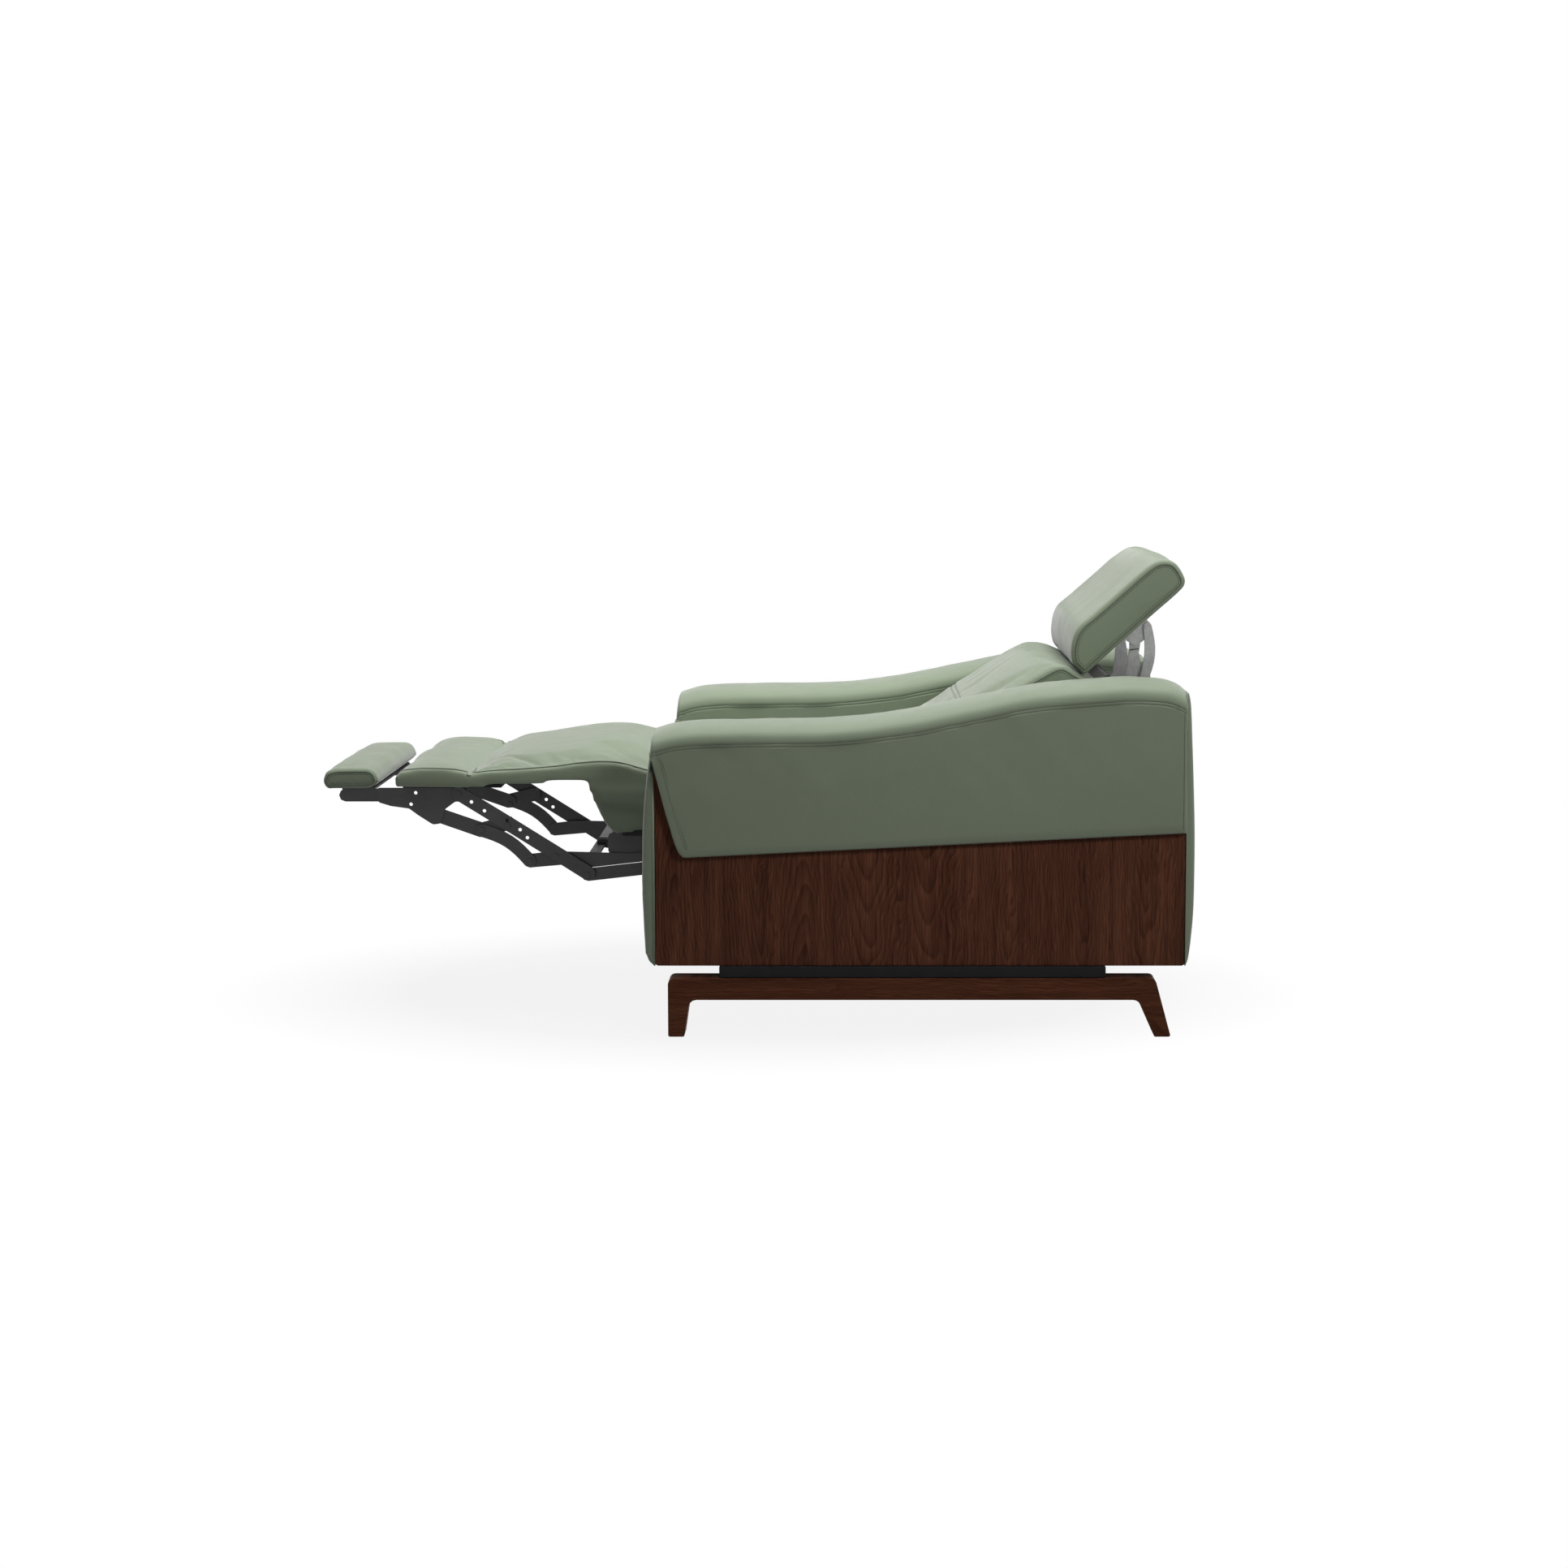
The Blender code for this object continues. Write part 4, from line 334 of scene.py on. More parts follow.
def tube(name, path, radius, closed=True):
    """A round cord along points."""
    line = [Vector(p) for p in path]
    count = len(line)
    sections = []
    for i, point in enumerate(line):
        if closed:
            run = line[(i + 1) % count] - line[i - 1]
        else:
            run = line[min(i + 1, count - 1)] - line[max(i - 1, 0)]
        run.normalize()
        side, up = across(run)
        sections.append([point + (side * c + up * s) * radius for c, s in circle(TUBE_SIDES)])
    return skin(name, sections, closed=closed)


def stitches(name, path):
    """A row of sewn stitches along points that lie on a surface."""
    line = np.array([tuple(p) for p in path], float)
    run = np.concatenate([[0], np.cumsum(np.linalg.norm(np.diff(line, axis=0), axis=1))])
    forms = []
    for i in range(int(run[-1] / STITCH_PITCH)):
        ends = []
        for at in (i * STITCH_PITCH, i * STITCH_PITCH + STITCH_LENGTH):
            ends.append(Vector([np.interp(at, run, line[:, k]) for k in range(3)]))
        way = ends[1] - ends[0]
        if way.length < STITCH_LENGTH / 3:
            continue
        way.normalize()
        side, up = across(way)
        rings = []
        for share, size in STITCH_SHAPE:
            middle, radius = ends[0].lerp(ends[1], share), STITCH_RADIUS * size
            rings.append([middle + (side * c + up * s) * radius for c, s in circle(STITCH_SIDES)])
        forms.append(rings)
    return skin(name, *forms)


# Materials


class Tree:
    """The nodes of a new material or world, with short calls to add and join them."""

    def __init__(self, name, kind="materials"):
        self.owner = getattr(bpy.data, kind).new(name)
        self.owner.use_nodes = True
        self.nodes = self.owner.node_tree.nodes
        self.links = self.owner.node_tree.links
        self.shader = self.nodes.get("Principled BSDF")

    def add(self, kind, inputs=(), **settings):
        """Adds a node and feeds its inputs, which are (name or number, value) pairs."""
        node = configured(self.nodes.new(kind), **settings)
        for key, value in inputs:
            self.feed(node.inputs[key], value)
        return node

    def join(self, out, to):
        self.links.new(out, to)

    def feed(self, socket, value):
        if hasattr(value, "is_output"):
            self.join(value, socket)
        elif socket.type == "RGBA" and len(value) == 3:
            socket.default_value = (*value, 1)
        else:
            socket.default_value = value

    def place(self, scale=(1, 1, 1)):
        coords = self.add("ShaderNodeTexCoord").outputs["Object"]
        return self.add("ShaderNodeMapping", (("Vector", coords), ("Scale", scale))).outputs[0]

    def stretched(self, side, side_scale, run, run_scale, shift):
        """Coordinates that are fine across the grain and long along it."""
        side, run = self.math("MULTIPLY", side, side_scale), self.math("MULTIPLY", run, run_scale)
        return self.add("ShaderNodeCombineXYZ", ((0, side), (1, run), (2, shift))).outputs[0]

    def noise(self, vector, scale, detail=2.0, rough=0.5, distortion=0.0):
        names = ("Vector", "Scale", "Detail", "Roughness", "Distortion")
        inputs = zip(names, (vector, scale, detail, rough, distortion))
        return self.add("ShaderNodeTexNoise", inputs).outputs["Fac"]

    def cells(self, vector, scale, feature="F1"):
        inputs = (("Vector", vector), ("Scale", scale))
        return self.add("ShaderNodeTexVoronoi", inputs, feature=feature).outputs["Distance"]

    def math(self, operation, *values):
        return self.add("ShaderNodeMath", enumerate(values), operation=operation).outputs[0]

    def seen(self):
        """1 for the camera's rays and for what it sees in gloss or through glass."""
        rays = self.add("ShaderNodeLightPath").outputs
        seen = self.math("MAXIMUM", rays["Is Camera Ray"], rays["Is Glossy Ray"])
        return self.math("MAXIMUM", seen, rays["Is Transmission Ray"])

    def ramp(self, value, *stops):
        """Colours at places from 0 to 1; a single number stands for a grey."""
        node = self.add("ShaderNodeValToRGB", [("Fac", value)])
        band = node.color_ramp
        while len(band.elements) < len(stops):
            band.elements.new(0.5)
        for element, (at, colour) in zip(band.elements, stops):
            element.position = at
            element.color = (*(colour if isinstance(colour, tuple) else (colour,) * 3), 1)
        return node.outputs["Color"]

    def mixed(self, share, a, b, blend="MIX"):
        inputs = ((0, share), (6, a), (7, b))
        return self.add("ShaderNodeMix", inputs, data_type="RGBA", blend_type=blend).outputs[2]

    def bump(self, height, strength, distance, under=None):
        inputs = [("Height", height), ("Strength", strength), ("Distance", distance)]
        if under is not None:
            inputs.append(("Normal", under))
        return self.add("ShaderNodeBump", inputs).outputs["Normal"]

    def finish(self, colour, roughness, normal=None, **plain):
        self.feed(self.shader.inputs["Base Color"], colour)
        self.feed(self.shader.inputs["Roughness"], roughness)
        if normal is not None:
            self.join(normal, self.shader.inputs["Normal"])
        for key, value in plain.items():
            self.shader.inputs[key.replace("_", " ")].default_value = value
        return self.owner


def shade(colour, factor):
    return tuple(min(1.0, c * factor) for c in colour)


def leather(name, colour, grain=1.0):
    """Dyed top-grain leather: pebbled grain, pores, fine creases and uneven dye."""
    t = Tree(name)
    at = t.place()
    broad = t.noise(at, 3.0)
    mottled = t.noise(at, 42.0, 4.0, 0.6)
    pebble = t.cells(at, 620.0, "SMOOTH_F1")
    pores = t.noise(at, 1500.0, 2.0, 0.6)
    crease = t.cells(at, 150.0, "DISTANCE_TO_EDGE")
    crease = t.math("MINIMUM", t.math("MULTIPLY", crease, 9.0), 1.0)
    base = t.ramp(broad, (0.32, shade(colour, 0.96)), (0.5, colour), (0.68, shade(colour, 1.03)))
    spots = t.ramp(mottled, (0.35, 0.975), (0.65, 1.0))
    base = t.mixed(1.0, base, spots, "MULTIPLY")
    pits = t.ramp(pebble, (0.0, 1.0), (0.75, 0.90))
    base = t.mixed(0.6, base, pits, "MULTIPLY")
    rough = t.ramp(mottled, (0.3, 0.47), (0.7, 0.60))
    height = t.math("SUBTRACT", 1.0, pebble)
    height = t.math("MULTIPLY_ADD", pores, 0.35, height)
    height = t.math("MULTIPLY_ADD", crease, 0.35, height)
    normal = t.bump(height, 0.22 * grain, 0.0004)
    soft = t.noise(at, 24.0, 3.0, 0.5)
    normal = t.bump(soft, 0.16, 0.0016, normal)
    return t.finish(
        base, rough, normal,
        Specular_IOR_Level=0.38, Sheen_Weight=0.36, Sheen_Roughness=0.40,
        Sheen_Tint=(0.96, 0.90, 1.0, 1.0),
    )


def thread(name, colour):
    """Twisted sewing thread."""
    t = Tree(name)
    at = t.place()
    twist = t.noise(at, 900.0)
    base = t.ramp(twist, (0.35, shade(colour, 0.7)), (0.65, colour))
    return t.finish(base, 0.75, t.bump(twist, 0.4, 0.0004), Sheen_Weight=0.2)


PLANK_START = 3.013


def wood(name, dark, light, along, sideways, plank=0.0, gloss=0.36):
    """Stained timber. The grain runs along one axis, in arches across another, plank by plank."""
    middle = tuple(a * 0.55 + b * 0.45 for a, b in zip(dark, light))
    t = Tree(name)
    at = t.place()
    split = t.add("ShaderNodeSeparateXYZ", [(0, at)]).outputs
    run, side = split[along], split[sideways]
    if plank:
        boards = t.math("DIVIDE", t.math("ADD", side, PLANK_START), plank)
        number = t.math("FLOOR", boards)
        pick = t.add("ShaderNodeTexWhiteNoise", [("W", number)], noise_dimensions="1D")
        parts = t.add("ShaderNodeSeparateColor", [(0, pick.outputs["Color"])]).outputs
        inside = t.math("FRACT", boards)
        heart = t.math("MULTIPLY_ADD", parts[0], 0.7, 0.15)
        side_in = t.math("MULTIPLY", t.math("SUBTRACT", inside, heart), plank)
        run_in = t.math("SUBTRACT", run, t.math("MULTIPLY_ADD", parts[1], 0.9, -0.1))
        tone = t.math("MULTIPLY_ADD", parts[2], 0.34, 0.83)
        shift = t.math("MULTIPLY", parts[1], 7.0)
    else:
        side_in, run_in, tone, shift = side, run, 1.0, 0.0
    warp_at = t.stretched(side, 9.0, run, 3.2, shift)
    warp = t.math("SUBTRACT", t.noise(warp_at, 1.6, 3.0, 0.55, 0.4), 0.5)
    u = t.math("MULTIPLY_ADD", warp, 0.055, side_in)
    w = t.math("MULTIPLY", run_in, 0.105)
    radius = t.math("SQRT", t.math("ADD", t.math("MULTIPLY", u, u), t.math("MULTIPLY", w, w)))
    ring = t.math("FRACT", t.math("MULTIPLY_ADD", radius, 175.0, t.math("MULTIPLY", warp, 2.2)))
    bands = ((0.0, 0.25), (0.12, 0.95), (0.72, 0.62), (1.0, 0.18))
    ring = t.ramp(ring, *bands)
    pore = t.noise(t.stretched(side, 620.0, run, 22.0, shift), 1.0, 3.0, 0.6, 0.2)
    fine = t.ramp(pore, (0.34, 0.0), (0.62, 1.0))
    figure = t.noise(warp_at, 0.55)
    streak = t.noise(t.stretched(side, 64.0, run, 2.6, shift), 1.0, 4.0, 0.6, 0.6)
    value = t.math("ADD", t.math("MULTIPLY", ring, 0.30), t.math("MULTIPLY", fine, 0.24))
    value = t.math("ADD", value, t.math("MULTIPLY", figure, 0.42))
    value = t.math("ADD", value, t.math("MULTIPLY", t.math("SUBTRACT", streak, 0.5), 0.75))
    base = t.ramp(value, (0.20, dark), (0.52, middle), (0.78, light))
    if plank:
        base = t.mixed(1.0, base, t.ramp(tone, (0.0, 0.0), (1.0, 1.0)), "MULTIPLY")
    rough = t.ramp(fine, (0.0, gloss + 0.14), (1.0, gloss))
    normal = t.bump(t.math("MULTIPLY_ADD", ring, 0.35, fine), 0.22, 0.0005)
    return t.finish(base, rough, normal, Specular_IOR_Level=0.04)


def coated_steel(name, colour, rough=0.45, metallic=0.35, dust=0.12, specular=0.5):
    """Powder-coated pressed steel: orange peel, scuffs and a little dust."""
    t = Tree(name)
    at = t.place()
    peel = t.noise(at, 700.0)
    scuff = t.noise(t.place((60, 9, 34)), 4.0, 5.0, 0.65)
    worn = t.ramp(scuff, (0.52, 0.0), (0.72, 1.0))
    light = tuple(min(1, c * 1.7 + 0.02) for c in colour)
    base = t.mixed(t.math("MULTIPLY", worn, dust * 3), colour, light)
    broad = t.noise(at, 24.0, 3.0, 0.5)
    base = t.mixed(1.0, base, t.ramp(broad, (0.3, 0.86), (0.7, 1.08)), "MULTIPLY")
    roughness = t.ramp(scuff, (0.3, rough - 0.06), (0.7, rough + 0.12))
    normal = t.bump(peel, 0.28, 0.0003)
    return t.finish(base, roughness, normal, Metallic=metallic, Specular_IOR_Level=specular)


def plated_steel(name, colour, rough=0.32, metallic=0.85):
    """Zinc-plated steel: brushed lines, spangle and handling marks."""
    t = Tree(name)
    brushed = t.noise(t.place((40, 30, 900)), 2.0, 3.0, 0.6)
    spangle = t.noise(t.place(), 85.0, 3.0, 0.6)
    base = t.ramp(spangle, (0.3, shade(colour, 0.84)), (0.7, shade(colour, 1.1)))
    roughness = t.ramp(brushed, (0.3, rough - 0.05), (0.7, rough + 0.14))
    return t.finish(base, roughness, t.bump(brushed, 0.18, 0.0003), Metallic=metallic)


def plastic(name, colour, rough=0.42):
    """Moulded plastic with a spark-eroded texture."""
    t = Tree(name)
    at = t.place()
    fine = t.noise(at, 1100.0, 2.0, 0.6)
    broad = t.noise(at, 18.0, 3.0, 0.5)
    base = t.ramp(broad, (0.3, shade(colour, 0.85)), (0.7, shade(colour, 1.15)))
    roughness = t.ramp(fine, (0.3, rough - 0.04), (0.7, rough + 0.10))
    return t.finish(base, roughness, t.bump(fine, 0.35, 0.0003))


def woven(name, colour):
    """Black non-woven lining cloth."""
    t = Tree(name)
    at = t.place()
    fibre = t.noise(at, 420.0, 4.0, 0.7, 1.2)
    dimple = t.cells(at, 260.0)
    base = t.ramp(fibre, (0.3, shade(colour, 0.6)), (0.7, shade(colour, 1.5)))
    height = t.math("MULTIPLY_ADD", dimple, -0.6, fibre)
    return t.finish(base, 0.9, t.bump(height, 0.5, 0.0006), Sheen_Weight=0.2)


LEATHER_COLOUR = (0.190, 0.229, 0.160)
LEATHER = leather("sage_leather", LEATHER_COLOUR)
# The welt leather is the sage leather at about half brightness: real piping, darkened as painted
# shade along it.
PIPING_PAINTED_SHADE = leather("sage_leather_welt_painted_shade", shade(LEATHER_COLOUR, 0.48), 0.6)
# The seam leather is painted shade: dark cords laid along seam lines where the grooves' shade
# falls.
SEAM_PAINTED_SHADE = leather("sage_leather_seam_painted_shade", shade(LEATHER_COLOUR, 0.50), 0.6)
THREAD = thread("sage_thread", shade(LEATHER_COLOUR, 0.42))
PLANK_WIDTH = 0.118
UP, AHEAD = 2, 1
PANEL_DARK, PANEL_LIGHT = (0.034, 0.0110, 0.0064), (0.158, 0.061, 0.0345)
LEG_DARK, LEG_LIGHT = (0.040, 0.0125, 0.0066), (0.138, 0.0490, 0.0250)
PANEL_WOOD = wood("panel_wood", PANEL_DARK, PANEL_LIGHT, UP, AHEAD, PLANK_WIDTH)
LEG_WOOD = wood("leg_wood", LEG_DARK, LEG_LIGHT, AHEAD, UP, gloss=0.40)
BLACK_PAINT = coated_steel("black_paint", (0.014, 0.014, 0.015), 0.55, 0.0, 0.02, 0.10)
CHARCOAL = coated_steel("charcoal_steel", (0.034, 0.034, 0.036), 0.42, 0.4, 0.10)
GREY_STEEL = plated_steel("light_grey_steel", (0.40, 0.41, 0.43), 0.36, 0.8)
SILVER = plated_steel("silver_steel", (0.43, 0.435, 0.43), 0.38, 0.75)
LINING = woven("dark_lining", (0.022, 0.022, 0.024))
PLASTIC = plastic("black_plastic", (0.016, 0.016, 0.018))
BUTTON = plastic("button_plastic", (0.36, 0.36, 0.37), 0.35)


def dress(obj, material):
    obj.data.materials.clear()
    obj.data.materials.append(material)


def piece(obj, material, body, nodes=()):
    """Dresses a new piece and says what it rides on and what it stands for."""
    dress(obj, material)
    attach(obj, body)
    if nodes:
        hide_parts(*nodes)


# Arms

CREST_FRONT_HEIGHT = 0.564
CREST_REAR_HEIGHT = 0.6404
ARM_FRONT = PANEL_FRONT - 0.0078
SHOULDER_DROP = 0.036
BORDER_TOP = 0.4958
FLAP_FRONT_TOP = 0.507
FLAP_CORNER_HEIGHT = 0.3232
FLAP_CORNER = PANEL_FRONT + 0.0547
FLAP_REAR_HEIGHT = 0.3673
CREST_SHARES = spline(
    [
        (0.0, -0.445), (0.004, -0.25), (0.016, -0.187), (0.046, -0.09), (0.10, -0.022),
        (0.17, 0.0), (0.237, 0.0), (0.305, 0.017), (0.357, 0.051), (0.407, 0.107),
        (0.479, 0.226), (0.553, 0.408), (0.637, 0.63), (0.70, 0.789), (0.77, 0.895),
        (0.84, 0.966), (0.889, 1.0), (0.932, 0.985), (0.962, 0.950), (0.984, 0.86), (1.0, 0.74),
    ],
    6,
)
FLAP_FRONT_SHARES = spline([(0.0, 1.0), (0.15, 0.82), (0.51, 0.365), (0.79, 0.062), (1.0, 0.0)], 6)


def crest_height(y):
    share = (y - ARM_FRONT) / (PANEL_REAR - ARM_FRONT)
    rise = CREST_REAR_HEIGHT - CREST_FRONT_HEIGHT
    return CREST_FRONT_HEIGHT + reading(CREST_SHARES, share) * rise


def flap_bottom(y):
    """The height of the outer flap's lower edge."""
    if y < FLAP_CORNER:
        share = reading(FLAP_FRONT_SHARES, (y - ARM_FRONT) / (FLAP_CORNER - ARM_FRONT))
        return FLAP_CORNER_HEIGHT + share * (FLAP_FRONT_TOP - FLAP_CORNER_HEIGHT)
    share = (y - FLAP_CORNER) / (PANEL_REAR - FLAP_CORNER)
    return FLAP_CORNER_HEIGHT + share * (FLAP_REAR_HEIGHT - FLAP_CORNER_HEIGHT)


SEAM_HALF = 0.0026
SEAM_DEEP = 0.0007
SEAM_ROWS = (
    (-2.4, 0.0), (-1.2, 0.1), (-1.0, 1.0), (-0.8, 0.1), (0.0, 0.0),
    (0.8, 0.1), (1.0, 1.0), (1.2, 0.1), (2.4, 0.0),
)
SEAM_REACH = 3.2 * SEAM_HALF
INNER_STEPS = 12
TOP_STEPS = 26
TOP_SQUARENESS = 0.8
FLAP_STEPS = 16
FLAP_BULGE = 0.0012
HEM_STEPS = 5
HEM = 0.004


def seam_rows(x, z, inward, up):
    """Points across a double row of stitching pressed into an upright face."""
    return [(x + inward * deep * SEAM_DEEP, z + up * at * SEAM_HALF) for at, deep in SEAM_ROWS]


def arm_section(y, inner_bottom, slot_inner, squeeze):
    """The arm across X: inner face, stitched crown and outer flap over the side panel."""
    crest = crest_height(y) - squeeze
    shoulder = crest - SHOULDER_DROP
    half = ARM_WIDTH / 2 - squeeze
    middle = HALF_WIDTH - ARM_WIDTH / 2
    bottom = flap_bottom(y)
    inner_x, outer_x = middle - half, middle + half
    slot_outer = PANEL_OUTER + GAP
    slot_top = max(PANEL_TOP + GAP, bottom + 0.002)
    high = shoulder - SEAM_REACH
    tall = high - inner_bottom
    points = [(inner_x, inner_bottom + tall * k / INNER_STEPS) for k in range(INNER_STEPS)]
    points += seam_rows(inner_x, shoulder - SEAM_HALF, 1, 1)
    for i in range(1, TOP_STEPS):
        angle = math.pi * (1 - i / TOP_STEPS)
        wide = math.copysign(abs(math.cos(angle)) ** TOP_SQUARENESS, math.cos(angle))
        up = math.sin(angle) ** TOP_SQUARENESS
        points.append((middle + half * wide, shoulder + SHOULDER_DROP * up))
    points += seam_rows(outer_x, shoulder - SEAM_HALF, -1, -1)
    low = bottom + HEM
    for k in range(1, FLAP_STEPS + 1):
        full = math.sin(math.pi * k / FLAP_STEPS) * FLAP_BULGE
        points.append((outer_x + full, high + (low - high) * k / FLAP_STEPS))
    thick = max(outer_x - slot_outer, 0.001)
    for k in range(1, HEM_STEPS + 1):
        angle = math.pi * k / HEM_STEPS
        x = outer_x - thick / 2 * (1 - math.cos(angle))
        points.append((x, low - HEM * math.sin(angle)))
    points += [(slot_outer, slot_top), (slot_inner, slot_top), (slot_inner, inner_bottom)]
    return [(x, y, z) for x, z in points]


NOSE_RADIUS = 0.009
ARM_STEP = 0.0045
# Distance from the rear end, and how far the section is drawn in there
ARM_REAR = (
    (0.0095, 0.0), (0.0075, 0.0003), (0.0065, 0.0), (0.004, 0.0), (0.0015, 0.0008), (0.0, 0.003),
)


def arm(name):
    """The arm along Y: rounded nose over the border, then the length beside the panel."""
    above_border = BORDER_TOP + GAP
    slit = PANEL_OUTER - GAP
    inner = PANEL_INNER - GAP
    low = PLINTH_TOP + GAP
    sections = []
    for angle in np.linspace(0, math.pi / 2, 6):
        squeeze = NOSE_RADIUS * (1 - math.sin(angle))
        y = min(ARM_FRONT + NOSE_RADIUS * (1 - math.cos(angle)), PANEL_FRONT - 2 * GAP)
        sections.append(arm_section(y, above_border, slit, squeeze))
    sections.append(arm_section(PANEL_FRONT - GAP, above_border, inner, 0))
    y = PANEL_FRONT + 0.0002
    sections.append(arm_section(y, low, inner, 0))
    while y < PANEL_REAR - ARM_REAR[0][0] - 0.005:
        y += ARM_STEP
        sections.append(arm_section(y, low, inner, 0))
    for back, squeeze in ARM_REAR:
        sections.append(arm_section(PANEL_REAR - back, low, inner, squeeze))
    return skin(name, sections)


BROAD_WAVE = 0.16
FINE_WAVE = 0.045


def relax(obj, seed, broad, fine, keep):
    """Slight unevenness of padded leather, faded out where keep() is near 0."""
    co, normal = points_of(obj), points_of(obj, "normal")
    height = waves(co, seed, BROAD_WAVE) * broad + waves(co, seed + 7, FINE_WAVE) * fine
    set_points(obj, co + normal * (height * keep(co))[:, None])


def side_fade(co, half):
    """0 at a pad's side faces and 1 away from them."""
    return rise(half - np.abs(co[:, 0]), 0.012, 0.03)


def mirrored(obj, name):
    """A copy for the other side of the chair."""
    mesh = obj.data.copy()
    twin = new_object(name, mesh)
    co = points_of(twin)
    co[:, 0] *= -1
    set_points(twin, co)
    mesh.flip_normals()
    return twin


def seam_path(x, offset):
    """A row of stitching along the arm's shoulder."""
    drop = SHOULDER_DROP + SEAM_HALF - offset
    ys = np.arange(PANEL_FRONT + 0.004, PANEL_REAR - 0.010, 0.004)
    return [(x, y, crest_height(y) - drop) for y in ys]


SEAM_SUNK = 0.0004
FLAP_SEAM_INSET = 0.0155
STITCH_ASIDE = 0.0042
STITCH_PROUD = 0.0006


def front_seam():
    """The seam of the outer flap, at an even distance from its slanted front edge."""
    edge = [(y, flap_bottom(y)) for y in np.linspace(ARM_FRONT, FLAP_CORNER, 26)]
    path = []
    for a, b in zip(edge, edge[1:]):
        run = Vector((b[0] - a[0], b[1] - a[1])).normalized()
        path.append((a[0] - run.y * FLAP_SEAM_INSET, a[1] + run.x * FLAP_SEAM_INSET))
    top = crest_height(path[0][0]) - SHOULDER_DROP - 0.009
    low = FLAP_CORNER_HEIGHT + 0.003
    return [(path[0][0] - 0.002, top)] + [p for p in path if low < p[1] < top - 0.004]


def rear_seam():
    """The upright seam at the rear end of the flap."""
    y = PANEL_REAR - 0.0060
    top = crest_height(y) - SHOULDER_DROP - 0.004
    return [(y, z) for z in np.linspace(top, flap_bottom(y) + 0.010, 30)]


def make_arms():
    first = arm("arm_cover_left")
    relax(first, 3, 0.0009, 0.00035, lambda co: rise(co[:, 2], 0.40, 0.05))
    second = mirrored(first, "arm_cover_right")
    for word, side, obj in (("left", 1, first), ("right", -1, second)):
        piece(obj, LEATHER, "base", ["arm_" + word])
        for row, offset in (("upper", SEAM_HALF), ("lower", -SEAM_HALF)):
            for face, x in (("outer", HALF_WIDTH - SEAM_SUNK), ("inner", ARM_INNER + SEAM_SUNK)):
                path = seam_path(side * x, offset)
                piece(stitches(f"arm_stitch_{face}_{row}_{word}", path), THREAD, "base")
                # A dark cord on each stitch row: painted shade of the seam groove.
                shade_cord = tube(f"arm_seam_{face}_{row}_{word}", path, SEAM_SHADE_RADIUS, closed=False)
                piece(shade_cord, SEAM_PAINTED_SHADE, "base")
        tree = tree_of(obj)
        for seam_shade, path in (("front", front_seam()), ("rear", rear_seam())):
            hits = on_side(tree, side, HALF_WIDTH, path, 0.02)
            # A dark cord along the flap's front and rear seams: painted shade of their grooves.
            shade_cord = tube(f"flap_{seam_shade}_seam_{word}", hits, FLAP_SEAM_SHADE_RADIUS, closed=False)
            piece(shade_cord, SEAM_PAINTED_SHADE, "base")
            if seam_shade == "front":
                x = side * (HALF_WIDTH + STITCH_PROUD)
                beside = [(x, y + STITCH_ASIDE, z) for y, z in path]
                piece(stitches(f"flap_front_stitch_{word}", beside), THREAD, "base")


# Front borders and rear shell

BORDER_PROFILE = spline(
    [
        (0.38, 1.0), (0.62, 0.895), (0.84, 0.76), (0.955, 0.585), (1.0, 0.438), (0.98, 0.318),
        (0.80, 0.079), (0.70, 0.052), (0.47, 0.020), (0.14, 0.005), (0.0, 0.0),
    ],
    5,
)
BORDER_BULGE = 0.0209
BORDER_WELT = 0.002
BORDER_SIDE = 0.014
BORDER_ROUND = 0.013
SHELL_PROFILE = spline(
    [
        (0.10, 0.0), (0.42, 0.028), (0.70, 0.10), (0.93, 0.20), (1.0, 0.33), (0.98, 0.50),
        (0.80, 0.68), (0.62, 0.82), (0.47, 0.93), (0.34, 0.975), (0.15, 1.0),
    ],
    6,
)


def rounding(distance, radius):
    """How full a padded edge is at a distance from its end."""
    if distance >= radius:
        return 1.0
    return math.sqrt(max(0.0, 1 - (1 - distance / radius) ** 2))


def fuller(full, least):
    """A fullness that keeps a least share at the very edge."""
    return least + (1 - least) * full


def border(name):
    face = PANEL_FRONT - GAP
    bottom = PLINTH_TOP + GAP
    wide = PANEL_OUTER - ARM_INNER
    inner = wide - BORDER_SIDE
    xs = {*np.linspace(0, BORDER_SIDE, 8), *np.linspace(BORDER_SIDE, inner, 24)}
    sections = []
    for offset in sorted(xs | {*np.linspace(inner, wide, 8)}):
        full = rounding(min(offset, wide - offset), BORDER_ROUND)
        x = ARM_INNER + offset
        section = [(x, face, BORDER_TOP)]
        for ahead, up in BORDER_PROFILE[:-1]:
            y = face - BORDER_WELT - BORDER_BULGE * ahead * fuller(full, 0.25)
            section.append((x, y, bottom + (BORDER_TOP - bottom) * up))
        section.append((x, face, bottom))
        sections.append(section)
    return skin(name, sections)


SHELL_TOP_MIDDLE = 0.580
SHELL_TOP_SIDE = 0.617
SHELL_PADDING = 0.0138
SHELL_BULGE = 0.0165
SHELL_HALF = PANEL_OUTER + 0.002
SHELL_ROUND = 0.012
SHELL_STEP = 0.004
SHELL_SEAM_DEEP = 0.0022
SHELL_SEAM_WIDE = 0.0025


